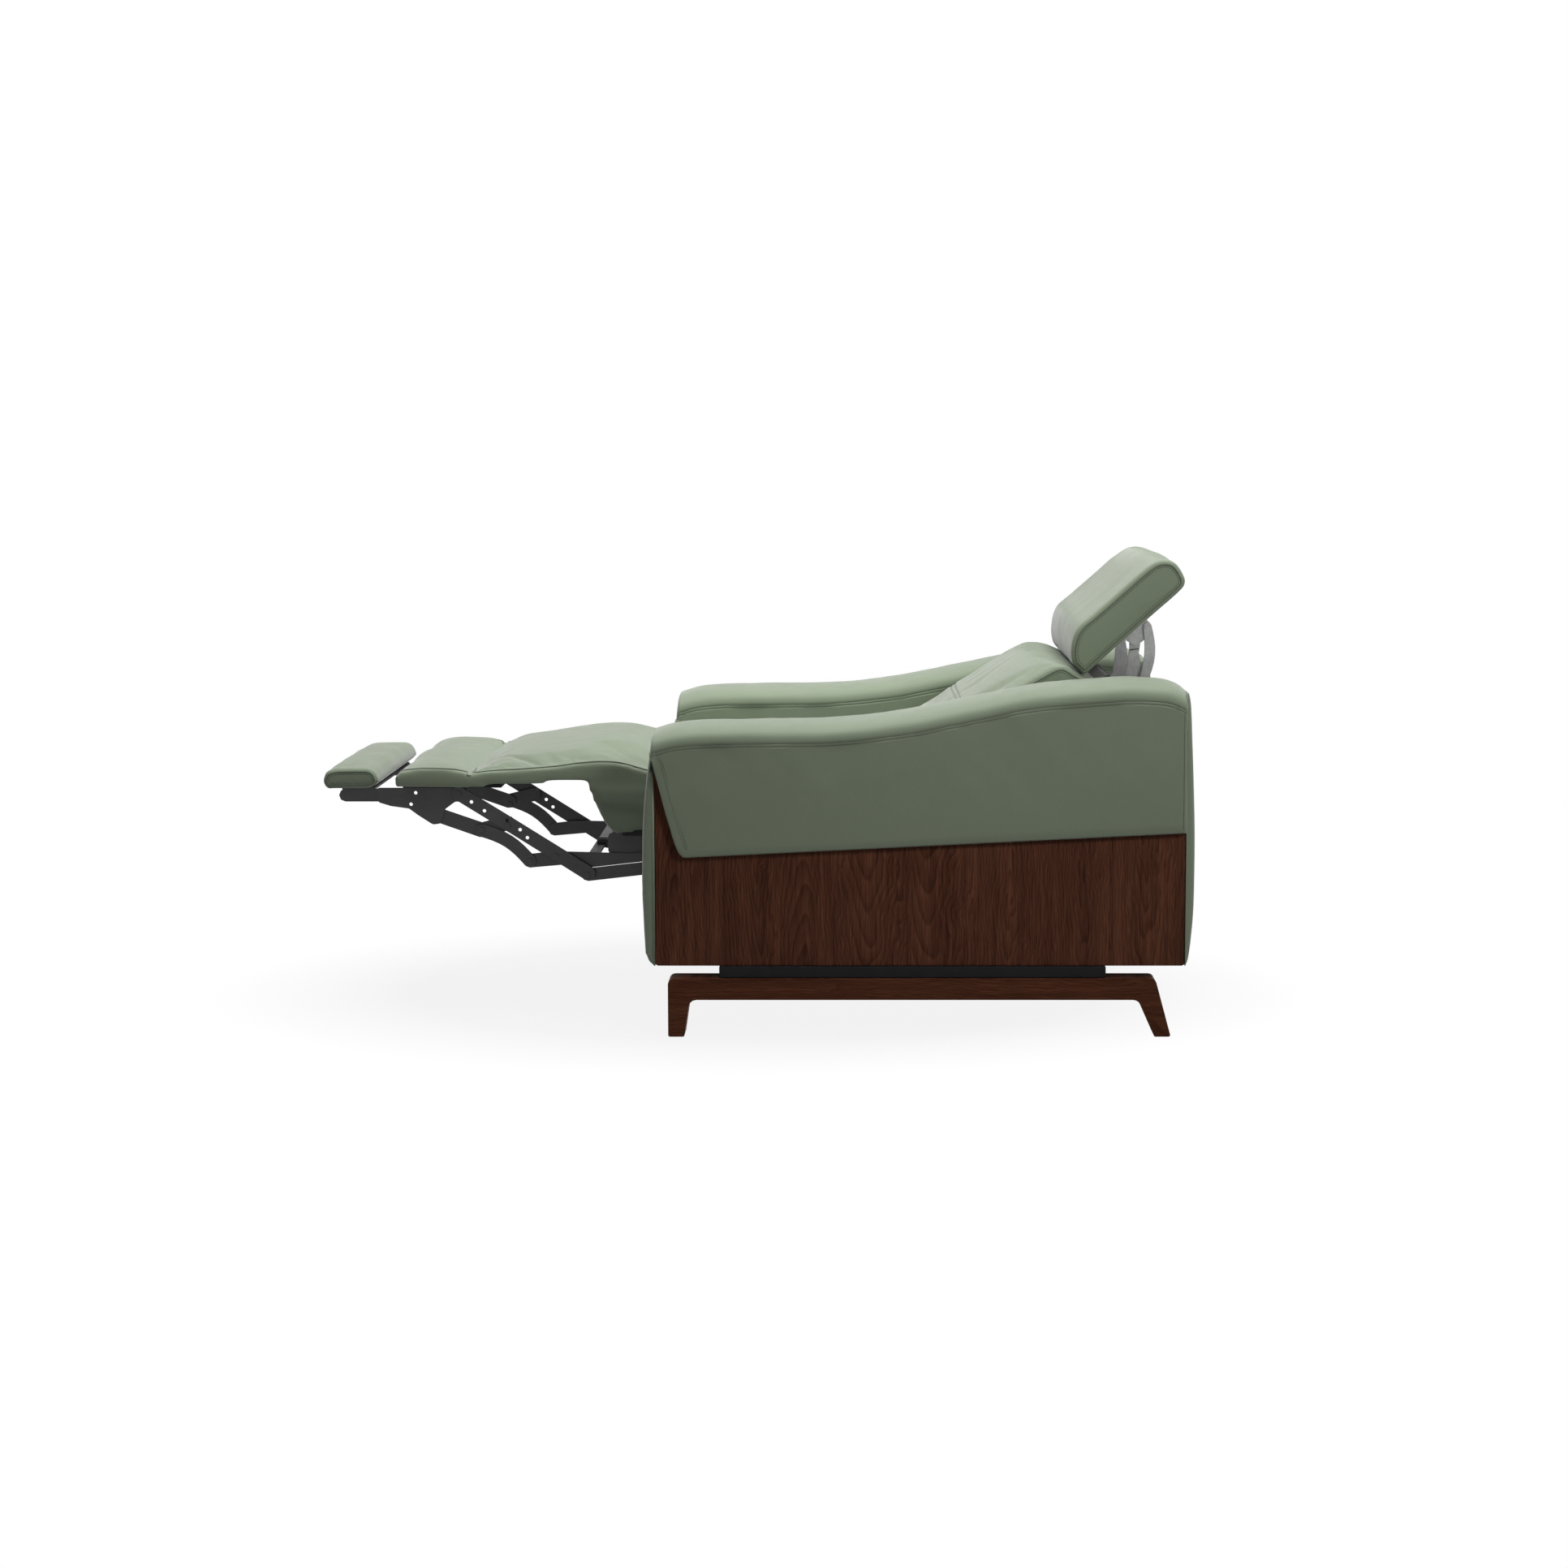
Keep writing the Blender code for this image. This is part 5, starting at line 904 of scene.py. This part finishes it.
def shell(name):
    """The rear shell across X, with a seam and a step up to each arm."""
    rear = PANEL_REAR + GAP
    bottom = PLINTH_TOP + GAP
    between = ARM_INNER - 0.012
    xs = set()
    places = (0, between - SHELL_STEP, ARM_INNER + SHELL_STEP, SHELL_HALF - SHELL_ROUND, SHELL_HALF)
    for a, b, count in zip(places, places[1:], (30, 10, 16, 7)):
        xs |= {*np.linspace(a, b, count)}
    xs = sorted(xs)
    sections = []
    for x in [-x for x in xs[:0:-1]] + xs:
        wide = abs(x)
        t = min(max((wide - between) / (ARM_INNER - 0.001 - between), 0.0), 1.0)
        top = SHELL_TOP_MIDDLE + (SHELL_TOP_SIDE - SHELL_TOP_MIDDLE) * (3 * t * t - 2 * t**3)
        face = rear if wide >= ARM_INNER - GAP else rear - SHELL_PADDING
        full = rounding(SHELL_HALF - wide, SHELL_ROUND)
        seam_shade = SHELL_SEAM_DEEP * math.exp(-(((wide - ARM_INNER) / SHELL_SEAM_WIDE) ** 2))
        section = [(x, face, bottom)]
        for behind, up in SHELL_PROFILE:
            out = (SHELL_BULGE - GAP) * behind * fuller(full, 0.2) - seam_shade * (0.02 < up < 0.99)
            section.append((x, rear + max(out, 0.0004), bottom + (top - bottom) * up))
        section.append((x, face, top))
        sections.append(section)
    return skin(name, sections)


def make_borders():
    first = border("border_cover_left")
    relax(first, 11, 0.0006, 0.0003, lambda co: rise(PANEL_FRONT - co[:, 1], 0.004, 0.006))
    second = mirrored(first, "border_cover_right")
    for word, obj in (("left", first), ("right", second)):
        piece(obj, LEATHER, "base", ["front_border_" + word])
    piece(shell("rear_shell_cover"), LEATHER, "base", ["rear_shell"])


# Chaise cover: one cover over the leg rest and the seat

PAD_BOTTOM = LEG_HINGE[1] - 0.0085
PAD_LENGTH = 0.3386
PAD_DEPTH = 0.050
PAD_TOP_SHARES = (
    (1.0, 0.342), (0.985, 0.53, 0.1), (0.946, 0.67, 0.2), (0.8625, 0.75, 0.38),
    (0.78, 0.755, 0.40), (0.688, 0.73, 0.36), (0.63, 0.66, 0.22), (0.589, 0.59, 0.12),
    (0.54, 0.61, 0.2), (0.45, 0.675, 0.45), (0.29, 0.74, 0.80), (0.16, 0.805, 0.95),
    (0.056, 0.89, 1.0),
)
PAD_UNDER_SHARES = (
    (0.0704, 0.342), (0.15, 0.27), (0.2915, 0.192), (0.483, 0.122),
    (0.5835, 0.0), (0.70, 0.0), (0.84, 0.0), (0.981, 0.0), (0.997, 0.06),
)
SEAT_TOP_SHARES = (
    (0.0, 0.776, 1.0), (0.041, 0.818, 1.0), (0.09, 0.84, 1.0), (0.16, 0.788, 1.0),
    (0.257, 0.522, 1.0), (0.36, 0.28, 1.0), (0.53, 0.10, 1.0), (0.73, 0.0, 0.9),
    (0.90, -0.06, 0.6), (0.98, -0.12, 0.2), (1.0, -0.25),
)
APRON_DROP = 0.0987
APRON_LOW = LEG_HINGE[1] - APRON_DROP
SEAT_HIGH = 0.050
SEAT_LENGTH = SEAT_REAR - LEG_HINGE[0]
APRON_SHARES = (
    (0.145, 0.0), (0.106, 0.17), (0.083, 0.372), (0.063, 0.60),
    (0.049, 0.90), (0.034, 1.05),
)
CHAISE_CROWN = 0.027
DECK_TOP = LEG_HINGE[1] - 0.0872
DECK_FRONT = LEG_HINGE[0] + 0.0806
VALLEY_Y = LEG_HINGE[0] - 0.585 * PAD_LENGTH
CHAISE_TOP = []
ROLL_HOLD = 0.85
WELT_DROP = 0.0018


def on_pad(y, z):
    return LEG_HINGE[0] - y * PAD_LENGTH, PAD_BOTTOM + z * PAD_DEPTH


def on_seat(y, z):
    return LEG_HINGE[0] + y * SEAT_LENGTH, LEG_HINGE[1] + z * SEAT_HIGH


def on_apron(y, z):
    return LEG_HINGE[0] + y * SEAT_LENGTH, APRON_LOW + z * APRON_DROP


def chaise_loop():
    """The top of the cover, from the leg rest's end to the seat's rear, and its whole outline."""
    top = outline(PAD_TOP_SHARES, on_pad) + outline(SEAT_TOP_SHARES, on_seat)
    under = [
        (SEAT_REAR - 0.002, DECK_TOP + 0.03), (SEAT_REAR - 0.006, DECK_TOP + 0.002),
        (SEAT_REAR - 0.15, DECK_TOP + 0.001), (DECK_FRONT + 0.08, DECK_TOP + 0.001),
        (DECK_FRONT, DECK_TOP), (DECK_FRONT, APRON_LOW + 0.006),
    ]
    rest = [(*p, 0.0) for p in under] + outline(APRON_SHARES, on_apron)
    return top, top + rest + outline(PAD_UNDER_SHARES, on_pad)


def chaise_height(co):
    """The height of the cover's top outline at points."""
    return np.interp(co[:, 1], [p[0] for p in CHAISE_TOP], [p[1] for p in CHAISE_TOP])


def chaise_hold(co):
    """Full hold at the side seams, the underside and the rear end; none over the top."""
    side = rise(np.abs(co[:, 0]), HALF_CUSHION - 0.020, 0.012)
    under = rise(chaise_height(co) - co[:, 2], 0.012, 0.012)
    rear = rise(co[:, 1], SEAT_REAR - 0.03, 0.02)
    roll = ROLL_HOLD * rise(VALLEY_Y - co[:, 1], -0.02, 0.03)
    return np.maximum.reduce([side, under, rear, roll])


def chaise_top(co):
    """1 on the top of the chaise cover, fading to 0 at its sides and below."""
    above = co[:, 2] - chaise_height(co)
    return rise(above, -0.010, 0.008) * side_fade(co, HALF_CUSHION + 0.012)


def press_valley(obj):
    """Pulls the cover down along the seam between the front roll and the main pad."""
    co = points_of(obj)
    way = co[:, 1] - VALLEY_Y - 0.002 * np.sin(co[:, 0] * 23)
    deep = 0.0045 * np.exp(-((way / 0.0045) ** 2)) + 0.0015 * np.exp(-((way / 0.020) ** 2))
    co[:, 2] -= deep * chaise_top(co)
    set_points(obj, co)


def bend(obj, material):
    """Dresses a piece of the cover, which runs from the leg rest over the hinge to the seat, and
    bakes its place into its mesh.
    """
    dress(obj, material)
    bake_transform(obj)


def make_chaise():
    top, loop = chaise_loop()
    CHAISE_TOP.extend(spline(top, 4))
    obj = cushion("chaise_cover", loop, HALF_CUSHION, CHAISE_CROWN, (0, 1), 0.007, shrink=0.004)
    inflate(obj, chaise_hold, voxel=0.0065, cap=0.013, grow=0.02)
    finer(obj)
    relax(obj, 41, 0.0018, 0.00015, chaise_top)
    press_valley(obj)
    tree = tree_of(obj)
    welt = [(y, z - WELT_DROP) for y, z, _ in spline(top[:-1], 6)]
    for word, side in SIDES:
        path = on_side(tree, side, HALF_CUSHION, welt)
        # The welt's darkened leather paints shade along the piping.
        bend(tube("chaise_welt_" + word, path, LONG_WELT_RADIUS, closed=False), PIPING_PAINTED_SHADE)
    bend(obj, LEATHER)
    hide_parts("leg_rest_pad", "seat_cushion")


# Foot pad

FOOT_TIP = -0.79825
FOOT_BOTTOM = PAD_BOTTOM - 0.0062
FOOT_LENGTH = 0.1020
FOOT_DEPTH = 0.0375
FOOT_HALF = 0.250
FOOT_CROWN = 0.004
FOOT_WELT = 0.0062
FOOT_SHARES = (
    (0.0, 0.42), (0.033, 0.71, 0.2), (0.07, 0.83, 0.5), (0.14, 0.92, 0.8), (0.24, 0.975, 1.0),
    (0.36, 0.99, 1.0), (0.55, 1.0, 1.0), (0.71, 1.0, 1.0), (0.825, 0.98, 0.8), (0.915, 0.855, 0.5),
    (0.973, 0.625, 0.2), (1.0, 0.375), (0.97, 0.25), (0.91, 0.105),
    (0.79, 0.01), (0.60, 0.0), (0.40, 0.0), (0.20, 0.0), (0.087, 0.0),
    (0.02, 0.17),
)


def inset_loop(loop, amount):
    """A (y, z) outline moved inwards."""
    dense = spline([p[:2] for p in loop], 4, closed=True)
    return [(y - n[0] * amount, z - n[1] * amount) for (y, z), n in zip(dense, outward(dense))]


def side_welts(obj, name, loop, half, inset, body):
    """A welt on each side face, a little inside its outline, with a row of stitching beside it."""
    tree = tree_of(obj)
    for word, side in SIDES:
        path = on_side(tree, side, half, inset_loop(loop, inset))
        # The welt's darkened leather paints shade along the piping.
        piece(tube(f"{name}_welt_{word}", path, WELT_RADIUS), PIPING_PAINTED_SHADE, body)
        path = on_side(tree, side, half, inset_loop(loop, inset + STITCH_ASIDE))
        piece(stitches(f"{name}_stitch_{word}", path), THREAD, body)


def on_foot(y, z):
    return FOOT_TIP + y * FOOT_LENGTH, FOOT_BOTTOM + z * FOOT_DEPTH


def foot_top(co):
    return side_fade(co, FOOT_HALF) * rise(co[:, 2], FOOT_BOTTOM + 0.012, 0.01)


def make_foot():
    loop = outline(FOOT_SHARES, on_foot)
    obj = cushion("foot_pad_cover", loop, FOOT_HALF, FOOT_CROWN, (0, 1), 0.008, draw=0.002, steps=6)
    finer(obj)
    relax(obj, 31, 0.0008, 0.0002, foot_top)
    side_welts(obj, "foot_pad", loop, FOOT_HALF, FOOT_WELT, "foot_rest")
    piece(obj, LEATHER, "foot_rest", ["foot_pad"])


# Back cushion and headrest

BACK_LENGTH = 0.505
BACK_SEAM_AHEAD = 0.093
BACK_CROWN = 0.032
BACK_WELT = 0.0088
BACK_SHARES = (
    (-0.182, 0.14), (-0.178, 0.35, 0.1), (-0.155, 0.56, 0.3), (-0.105, 0.79, 0.6),
    (-0.045, 0.94, 0.85), (0.02, 1.0, 1.0), (0.15, 1.02, 1.0), (0.26, 1.01, 0.95),
    (0.31, 1.02, 0.97), (0.335, 1.015, 0.95), (0.36, 1.02, 0.97), (0.42, 1.01, 0.95),
    (0.54, 1.0, 1.0), (0.64, 0.97, 0.95), (0.70, 0.94, 0.75), (0.732, 0.84, 0.35),
    (0.752, 0.62, 0.08), (0.775, 0.40), (0.80, 0.2205), (0.60, 0.2205),
    (0.40, 0.2205), (0.20, 0.2205), (0.0, 0.2205), (-0.10, 0.2205),
)


def on_back(along, ahead):
    along, ahead = along * BACK_LENGTH, ahead * BACK_SEAM_AHEAD
    return on_slope(BACK_PIVOT, BACK_SLOPE, along, ahead)


def sloped(co, pivot, slope):
    """How far points are along a sloping line through a pivot, and ahead of it."""
    y, z = co[:, 1] - pivot[0], co[:, 2] - pivot[1]
    return y * math.cos(slope) + z * math.sin(slope), z * math.cos(slope) - y * math.sin(slope)


BACK_SEAM_ALONG = 0.335 * BACK_LENGTH
CROSS_SEAM_HALF = 0.0045
CROSS_SEAM_DEEP = 0.0022
CROSS_SEAM_WIDE = 0.0016
CROSS_SEAM_END = 0.272
BACK_FOLDS = (
    (0.225, 0.24, 0.013, 0.0050), (0.120, -0.20, 0.015, 0.0034), (0.030, 0.15, 0.012, 0.0020),
)


def press_back(obj):
    """Presses the double cross seam into the back cushion, with folds that lead to it."""
    co = points_of(obj)
    along, ahead = sloped(co, BACK_PIVOT, BACK_SLOPE)
    above = rise(ahead, 0.065, 0.015) * side_fade(co, HALF_CUSHION)
    from_seam = along - BACK_SEAM_ALONG
    deep = np.zeros(len(co))
    for offset in (-CROSS_SEAM_HALF, CROSS_SEAM_HALF):
        deep += CROSS_SEAM_DEEP * np.exp(-(((from_seam - offset) / CROSS_SEAM_WIDE) ** 2))
    for at, slant, wide, most in BACK_FOLDS:
        for way, length, fade, share in ((1, 0.15, 0.10, 1.0), (-1, 0.13, 0.05, 0.6)):
            away = from_seam * way
            run = rise(away, 0, 0.03) * rise(length - away, 0, fade)
            line = np.abs(co[:, 0]) - at - slant * share * from_seam
            deep += most * np.exp(-((line / wide) ** 2)) * run
    push = deep * above
    co[:, 1] += push * math.sin(BACK_SLOPE)
    co[:, 2] -= push * math.cos(BACK_SLOPE)
    set_points(obj, co)


def back_hold(co):
    """Full hold at the side seams and behind; none over the front."""
    side = rise(np.abs(co[:, 0]), HALF_CUSHION - 0.018, 0.012)
    behind = rise(-sloped(co, BACK_PIVOT, BACK_SLOPE)[1], -0.040, 0.012)
    return np.maximum(side, behind)


def make_back():
    loop = outline(BACK_SHARES, on_back)
    sin, cos = math.sin(BACK_SLOPE), math.cos(BACK_SLOPE)
    obj = cushion("back_cushion_cover", loop, HALF_CUSHION, BACK_CROWN, (-sin, cos), 0.009)
    inflate(obj, back_hold, voxel=0.0065, cap=0.005, grow=0.010)
    finer(obj)
    press_back(obj)
    tree = tree_of(obj)
    xs = np.linspace(-CROSS_SEAM_END, CROSS_SEAM_END, 90)
    for word, offset in (("lower", -CROSS_SEAM_HALF), ("upper", CROSS_SEAM_HALF)):
        y, z = on_slope(BACK_PIVOT, BACK_SLOPE, BACK_SEAM_ALONG + offset, 0.12)
        path = [onto(tree, (x, y, z), (0, sin, -cos), 0.08) for x in xs]
        # Dark cords in the pressed cross seam: painted shade of its grooves.
        seam_shade = tube("back_cross_seam_shade_" + word, path, CROSS_SEAM_SHADE_RADIUS, closed=False)
        piece(seam_shade, PIPING_PAINTED_SHADE, "backrest")
    side_welts(obj, "back_cushion", loop, HALF_CUSHION, BACK_WELT, "backrest")
    piece(obj, LEATHER, "backrest", ["back_cushion"])


HEAD_REAR_FROM_PIVOT = 0.0242
HEAD_LENGTH = 0.2600
HEAD_DEPTH = 0.0745
HEAD_START = -0.1190
HEAD_CROWN = 0.024
HEAD_WELT = 0.0078
HEAD_SHARES = (
    (0.012, 0.02), (-0.004, 0.23, 0.1), (0.0, 0.44, 0.28), (0.052, 0.69, 0.58),
    (0.132, 0.895, 0.85), (0.215, 0.985, 1.0), (0.34, 0.975, 1.0), (0.473, 0.97, 1.0),
    (0.61, 0.970, 1.0), (0.754, 0.970, 1.0), (0.892, 0.935, 0.8), (0.967, 0.79, 0.5),
    (1.0, 0.570, 0.2), (0.99, 0.265), (0.96, 0.07), (0.885, 0.0),
    (0.63, 0.0), (0.288, 0.0), (0.12, 0.0),
)


def on_head(along, ahead):
    along, ahead = HEAD_START + along * HEAD_LENGTH, HEAD_REAR_FROM_PIVOT + ahead * HEAD_DEPTH
    return on_slope(HEAD_PIVOT, HEAD_SLOPE, along, ahead)


def head_front(co):
    """0 at the headrest's rear face and sides, and 1 over its front."""
    ahead = sloped(co, HEAD_PIVOT, HEAD_SLOPE)[1] - HEAD_REAR_FROM_PIVOT
    return side_fade(co, HALF_CUSHION) * rise(ahead, 0, 0.03)


def make_headrest():
    loop = outline(HEAD_SHARES, on_head)
    way = (-math.sin(HEAD_SLOPE), math.cos(HEAD_SLOPE))
    obj = cushion("headrest_cover", loop, HALF_CUSHION, HEAD_CROWN, way, 0.008, 0.003, steps=8)
    finer(obj)
    relax(obj, 23, 0.0008, 0.0002, head_front)
    side_welts(obj, "headrest", loop, HALF_CUSHION, HEAD_WELT, "headrest")
    piece(obj, LEATHER, "headrest", ["headrest_pad"])


# Small pieces of the mechanism

STOP_PIN = ((0.7045, 0.6717), (0.7223, 0.6745))
STOP_X = 0.1560
STOP_SIZES = ((0.0, 0.0004), (0.04, 0.0009), (0.5, 0.0009), (0.96, 0.0009), (1.0, 0.0004))


def make_stops():
    """The stop pins of the headrest brackets."""
    (y0, z0), (y1, z1) = STOP_PIN
    for word, side in SIDES:
        sections = []
        for at, size in STOP_SIZES:
            y, z = y0 + (y1 - y0) * at, z0 + (z1 - z0) * at
            sections.append([(side * STOP_X + size * c, y, z + size * s) for c, s in circle(10)])
        pin = skin("headrest_stop_" + word, sections)
        piece(pin, PLASTIC, "backrest")


# Rigid nodes

FINISHES = (
    (LEG_WOOD, "leg_frame"),
    (PANEL_WOOD, "side_panel"),
    (BLACK_PAINT, "plinth base_crossbar"),
    (PLASTIC, "control_plate power_supply leg_rest_actuator_body recline_actuator_body"),
    (BUTTON, "button"),
    (LINING, "seat_deck back_frame leg_rest_board"),
    (SILVER, "headrest_bracket headrest_gusset headrest_crank headrest_link"),
    (GREY_STEEL, "leg_rest_actuator_rod recline_actuator_rod"),
    (CHARCOAL, "glide_rail side_plate seat_tube motor_tube ottoman_plate drive_linkage"),
    (CHARCOAL, "rear_link long_link curved_link cross_link front_link foot_bracket"),
)
BEVELS = (("leg_frame", 0.0022), ("side_panel", 0.0015), ("plinth", 0.0008), ("", 0.00045))


def make_rigid():
    for name, obj in NODES.items():
        if obj.hide_render:
            continue
        dress(obj, next(m for m, starts in FINISHES if name.startswith(tuple(starts.split()))))
        width = next(size for start, size in BEVELS if name.startswith(start))
        modifier(obj, "WELD", merge_threshold=0.00002)
        bevel = modifier(obj, "BEVEL", width=width, segments=2, limit_method="ANGLE")
        bevel.angle_limit = math.radians(35)


# Floor, light and camera

AMBIENT = 0.05
FLOOR_REACH = 9
FLOOR_CORNERS = ((-1, -1), (1, -1), (1, 1), (-1, 1))
FADE_SCALE = (0.80, 0.62, 1)
FADE_START = 0.42
FADE_SLOPE = 0.5
FADE_LEAST = 0.88


def make_stage():
    """A floor that is white to the camera, with a faint shadow, and a white world."""
    square = [(x * FLOOR_REACH, y * FLOOR_REACH) for x, y in FLOOR_CORNERS]
    floor = skin("floor", [[(x, y, z) for x, y in square] for z in (-0.001, 0)])
    t = Tree("floor_white")
    fine = t.noise(t.place(), 9.0, 3.0, 0.5)
    t.finish(t.ramp(fine, (0.3, 0.20), (0.7, 0.21)), 0.9)
    glow = t.add("ShaderNodeEmission", [("Strength", 1.0)])
    away = t.add("ShaderNodeVectorMath", [(0, t.place(FADE_SCALE))], operation="LENGTH")
    fade = t.math("SUBTRACT", away.outputs["Value"], FADE_START)
    fade = t.math("MULTIPLY_ADD", fade, FADE_SLOPE, FADE_LEAST)
    fade = t.math("MINIMUM", t.math("MAXIMUM", fade, FADE_LEAST), 1.0)
    inputs = (t.math("MULTIPLY", t.seen(), fade), t.shader.outputs[0], glow.outputs[0])
    mix = t.add("ShaderNodeMixShader", enumerate(inputs))
    t.join(mix.outputs[0], t.nodes["Material Output"].inputs["Surface"])
    dress(floor, t.owner)

    t = Tree("studio", "worlds")
    bpy.context.scene.world = t.owner
    back = t.nodes["Background"]
    back.inputs["Color"].default_value = (1, 1, 1, 1)
    inputs = (("Value", t.seen()), ("To Min", AMBIENT), ("To Max", 1.0))
    level = t.add("ShaderNodeMapRange", inputs)
    t.join(level.outputs["Result"], back.inputs["Strength"])


def lamp(name, place, target, size, power, spread=math.pi):
    data = bpy.data.lights.new(name, "AREA")
    configured(data, shape="RECTANGLE", size=size[0], size_y=size[1], energy=power, spread=spread)
    obj = new_object(name, data)
    obj.location = place
    run = Vector(target) - Vector(place)
    obj.rotation_euler = run.to_track_quat("-Z", "Y").to_euler()
    obj.visible_camera = False
    obj.visible_glossy = False


def make_lights():
    lamp("overhead", (-0.2, 0.0, 3.2), (-0.2, 0, 0), size=(2.6, 3.4), power=164)
    spread = math.radians(32)
    lamp("side_fill", (3.7, 3.2, 3.1), (0.49, 0.72, 1.0), (1.2, 1.2), power=5.7, spread=spread)


# The photo's camera: place and tilt, then its lens in pixels of the picture
CAMERA_PLACE = (5.89618538, 0.20251954, 1.07342824)
CAMERA_TILT = math.radians(90 - 6.5069)
PICTURE = 1932
FOCAL_LENGTH = 3770
CENTRE = 1062


def make_camera():
    data = bpy.data.cameras.new("camera")
    camera = new_object("camera", data)
    camera.location = CAMERA_PLACE
    camera.rotation_euler = (CAMERA_TILT, 0, math.radians(90))
    configured(data, sensor_width=36, sensor_fit="HORIZONTAL", clip_end=60)
    data.lens = FOCAL_LENGTH / PICTURE * data.sensor_width
    data.shift_x = -(CENTRE - PICTURE / 2) / PICTURE
    bpy.context.scene.camera = camera


make_camera()
make_lights()
make_stage()
make_arms()
make_borders()
make_chaise()
make_foot()
make_back()
make_headrest()
make_stops()
make_rigid()
bpy.context.scene.view_settings.view_transform = "Standard"
bpy.context.view_layer.update()
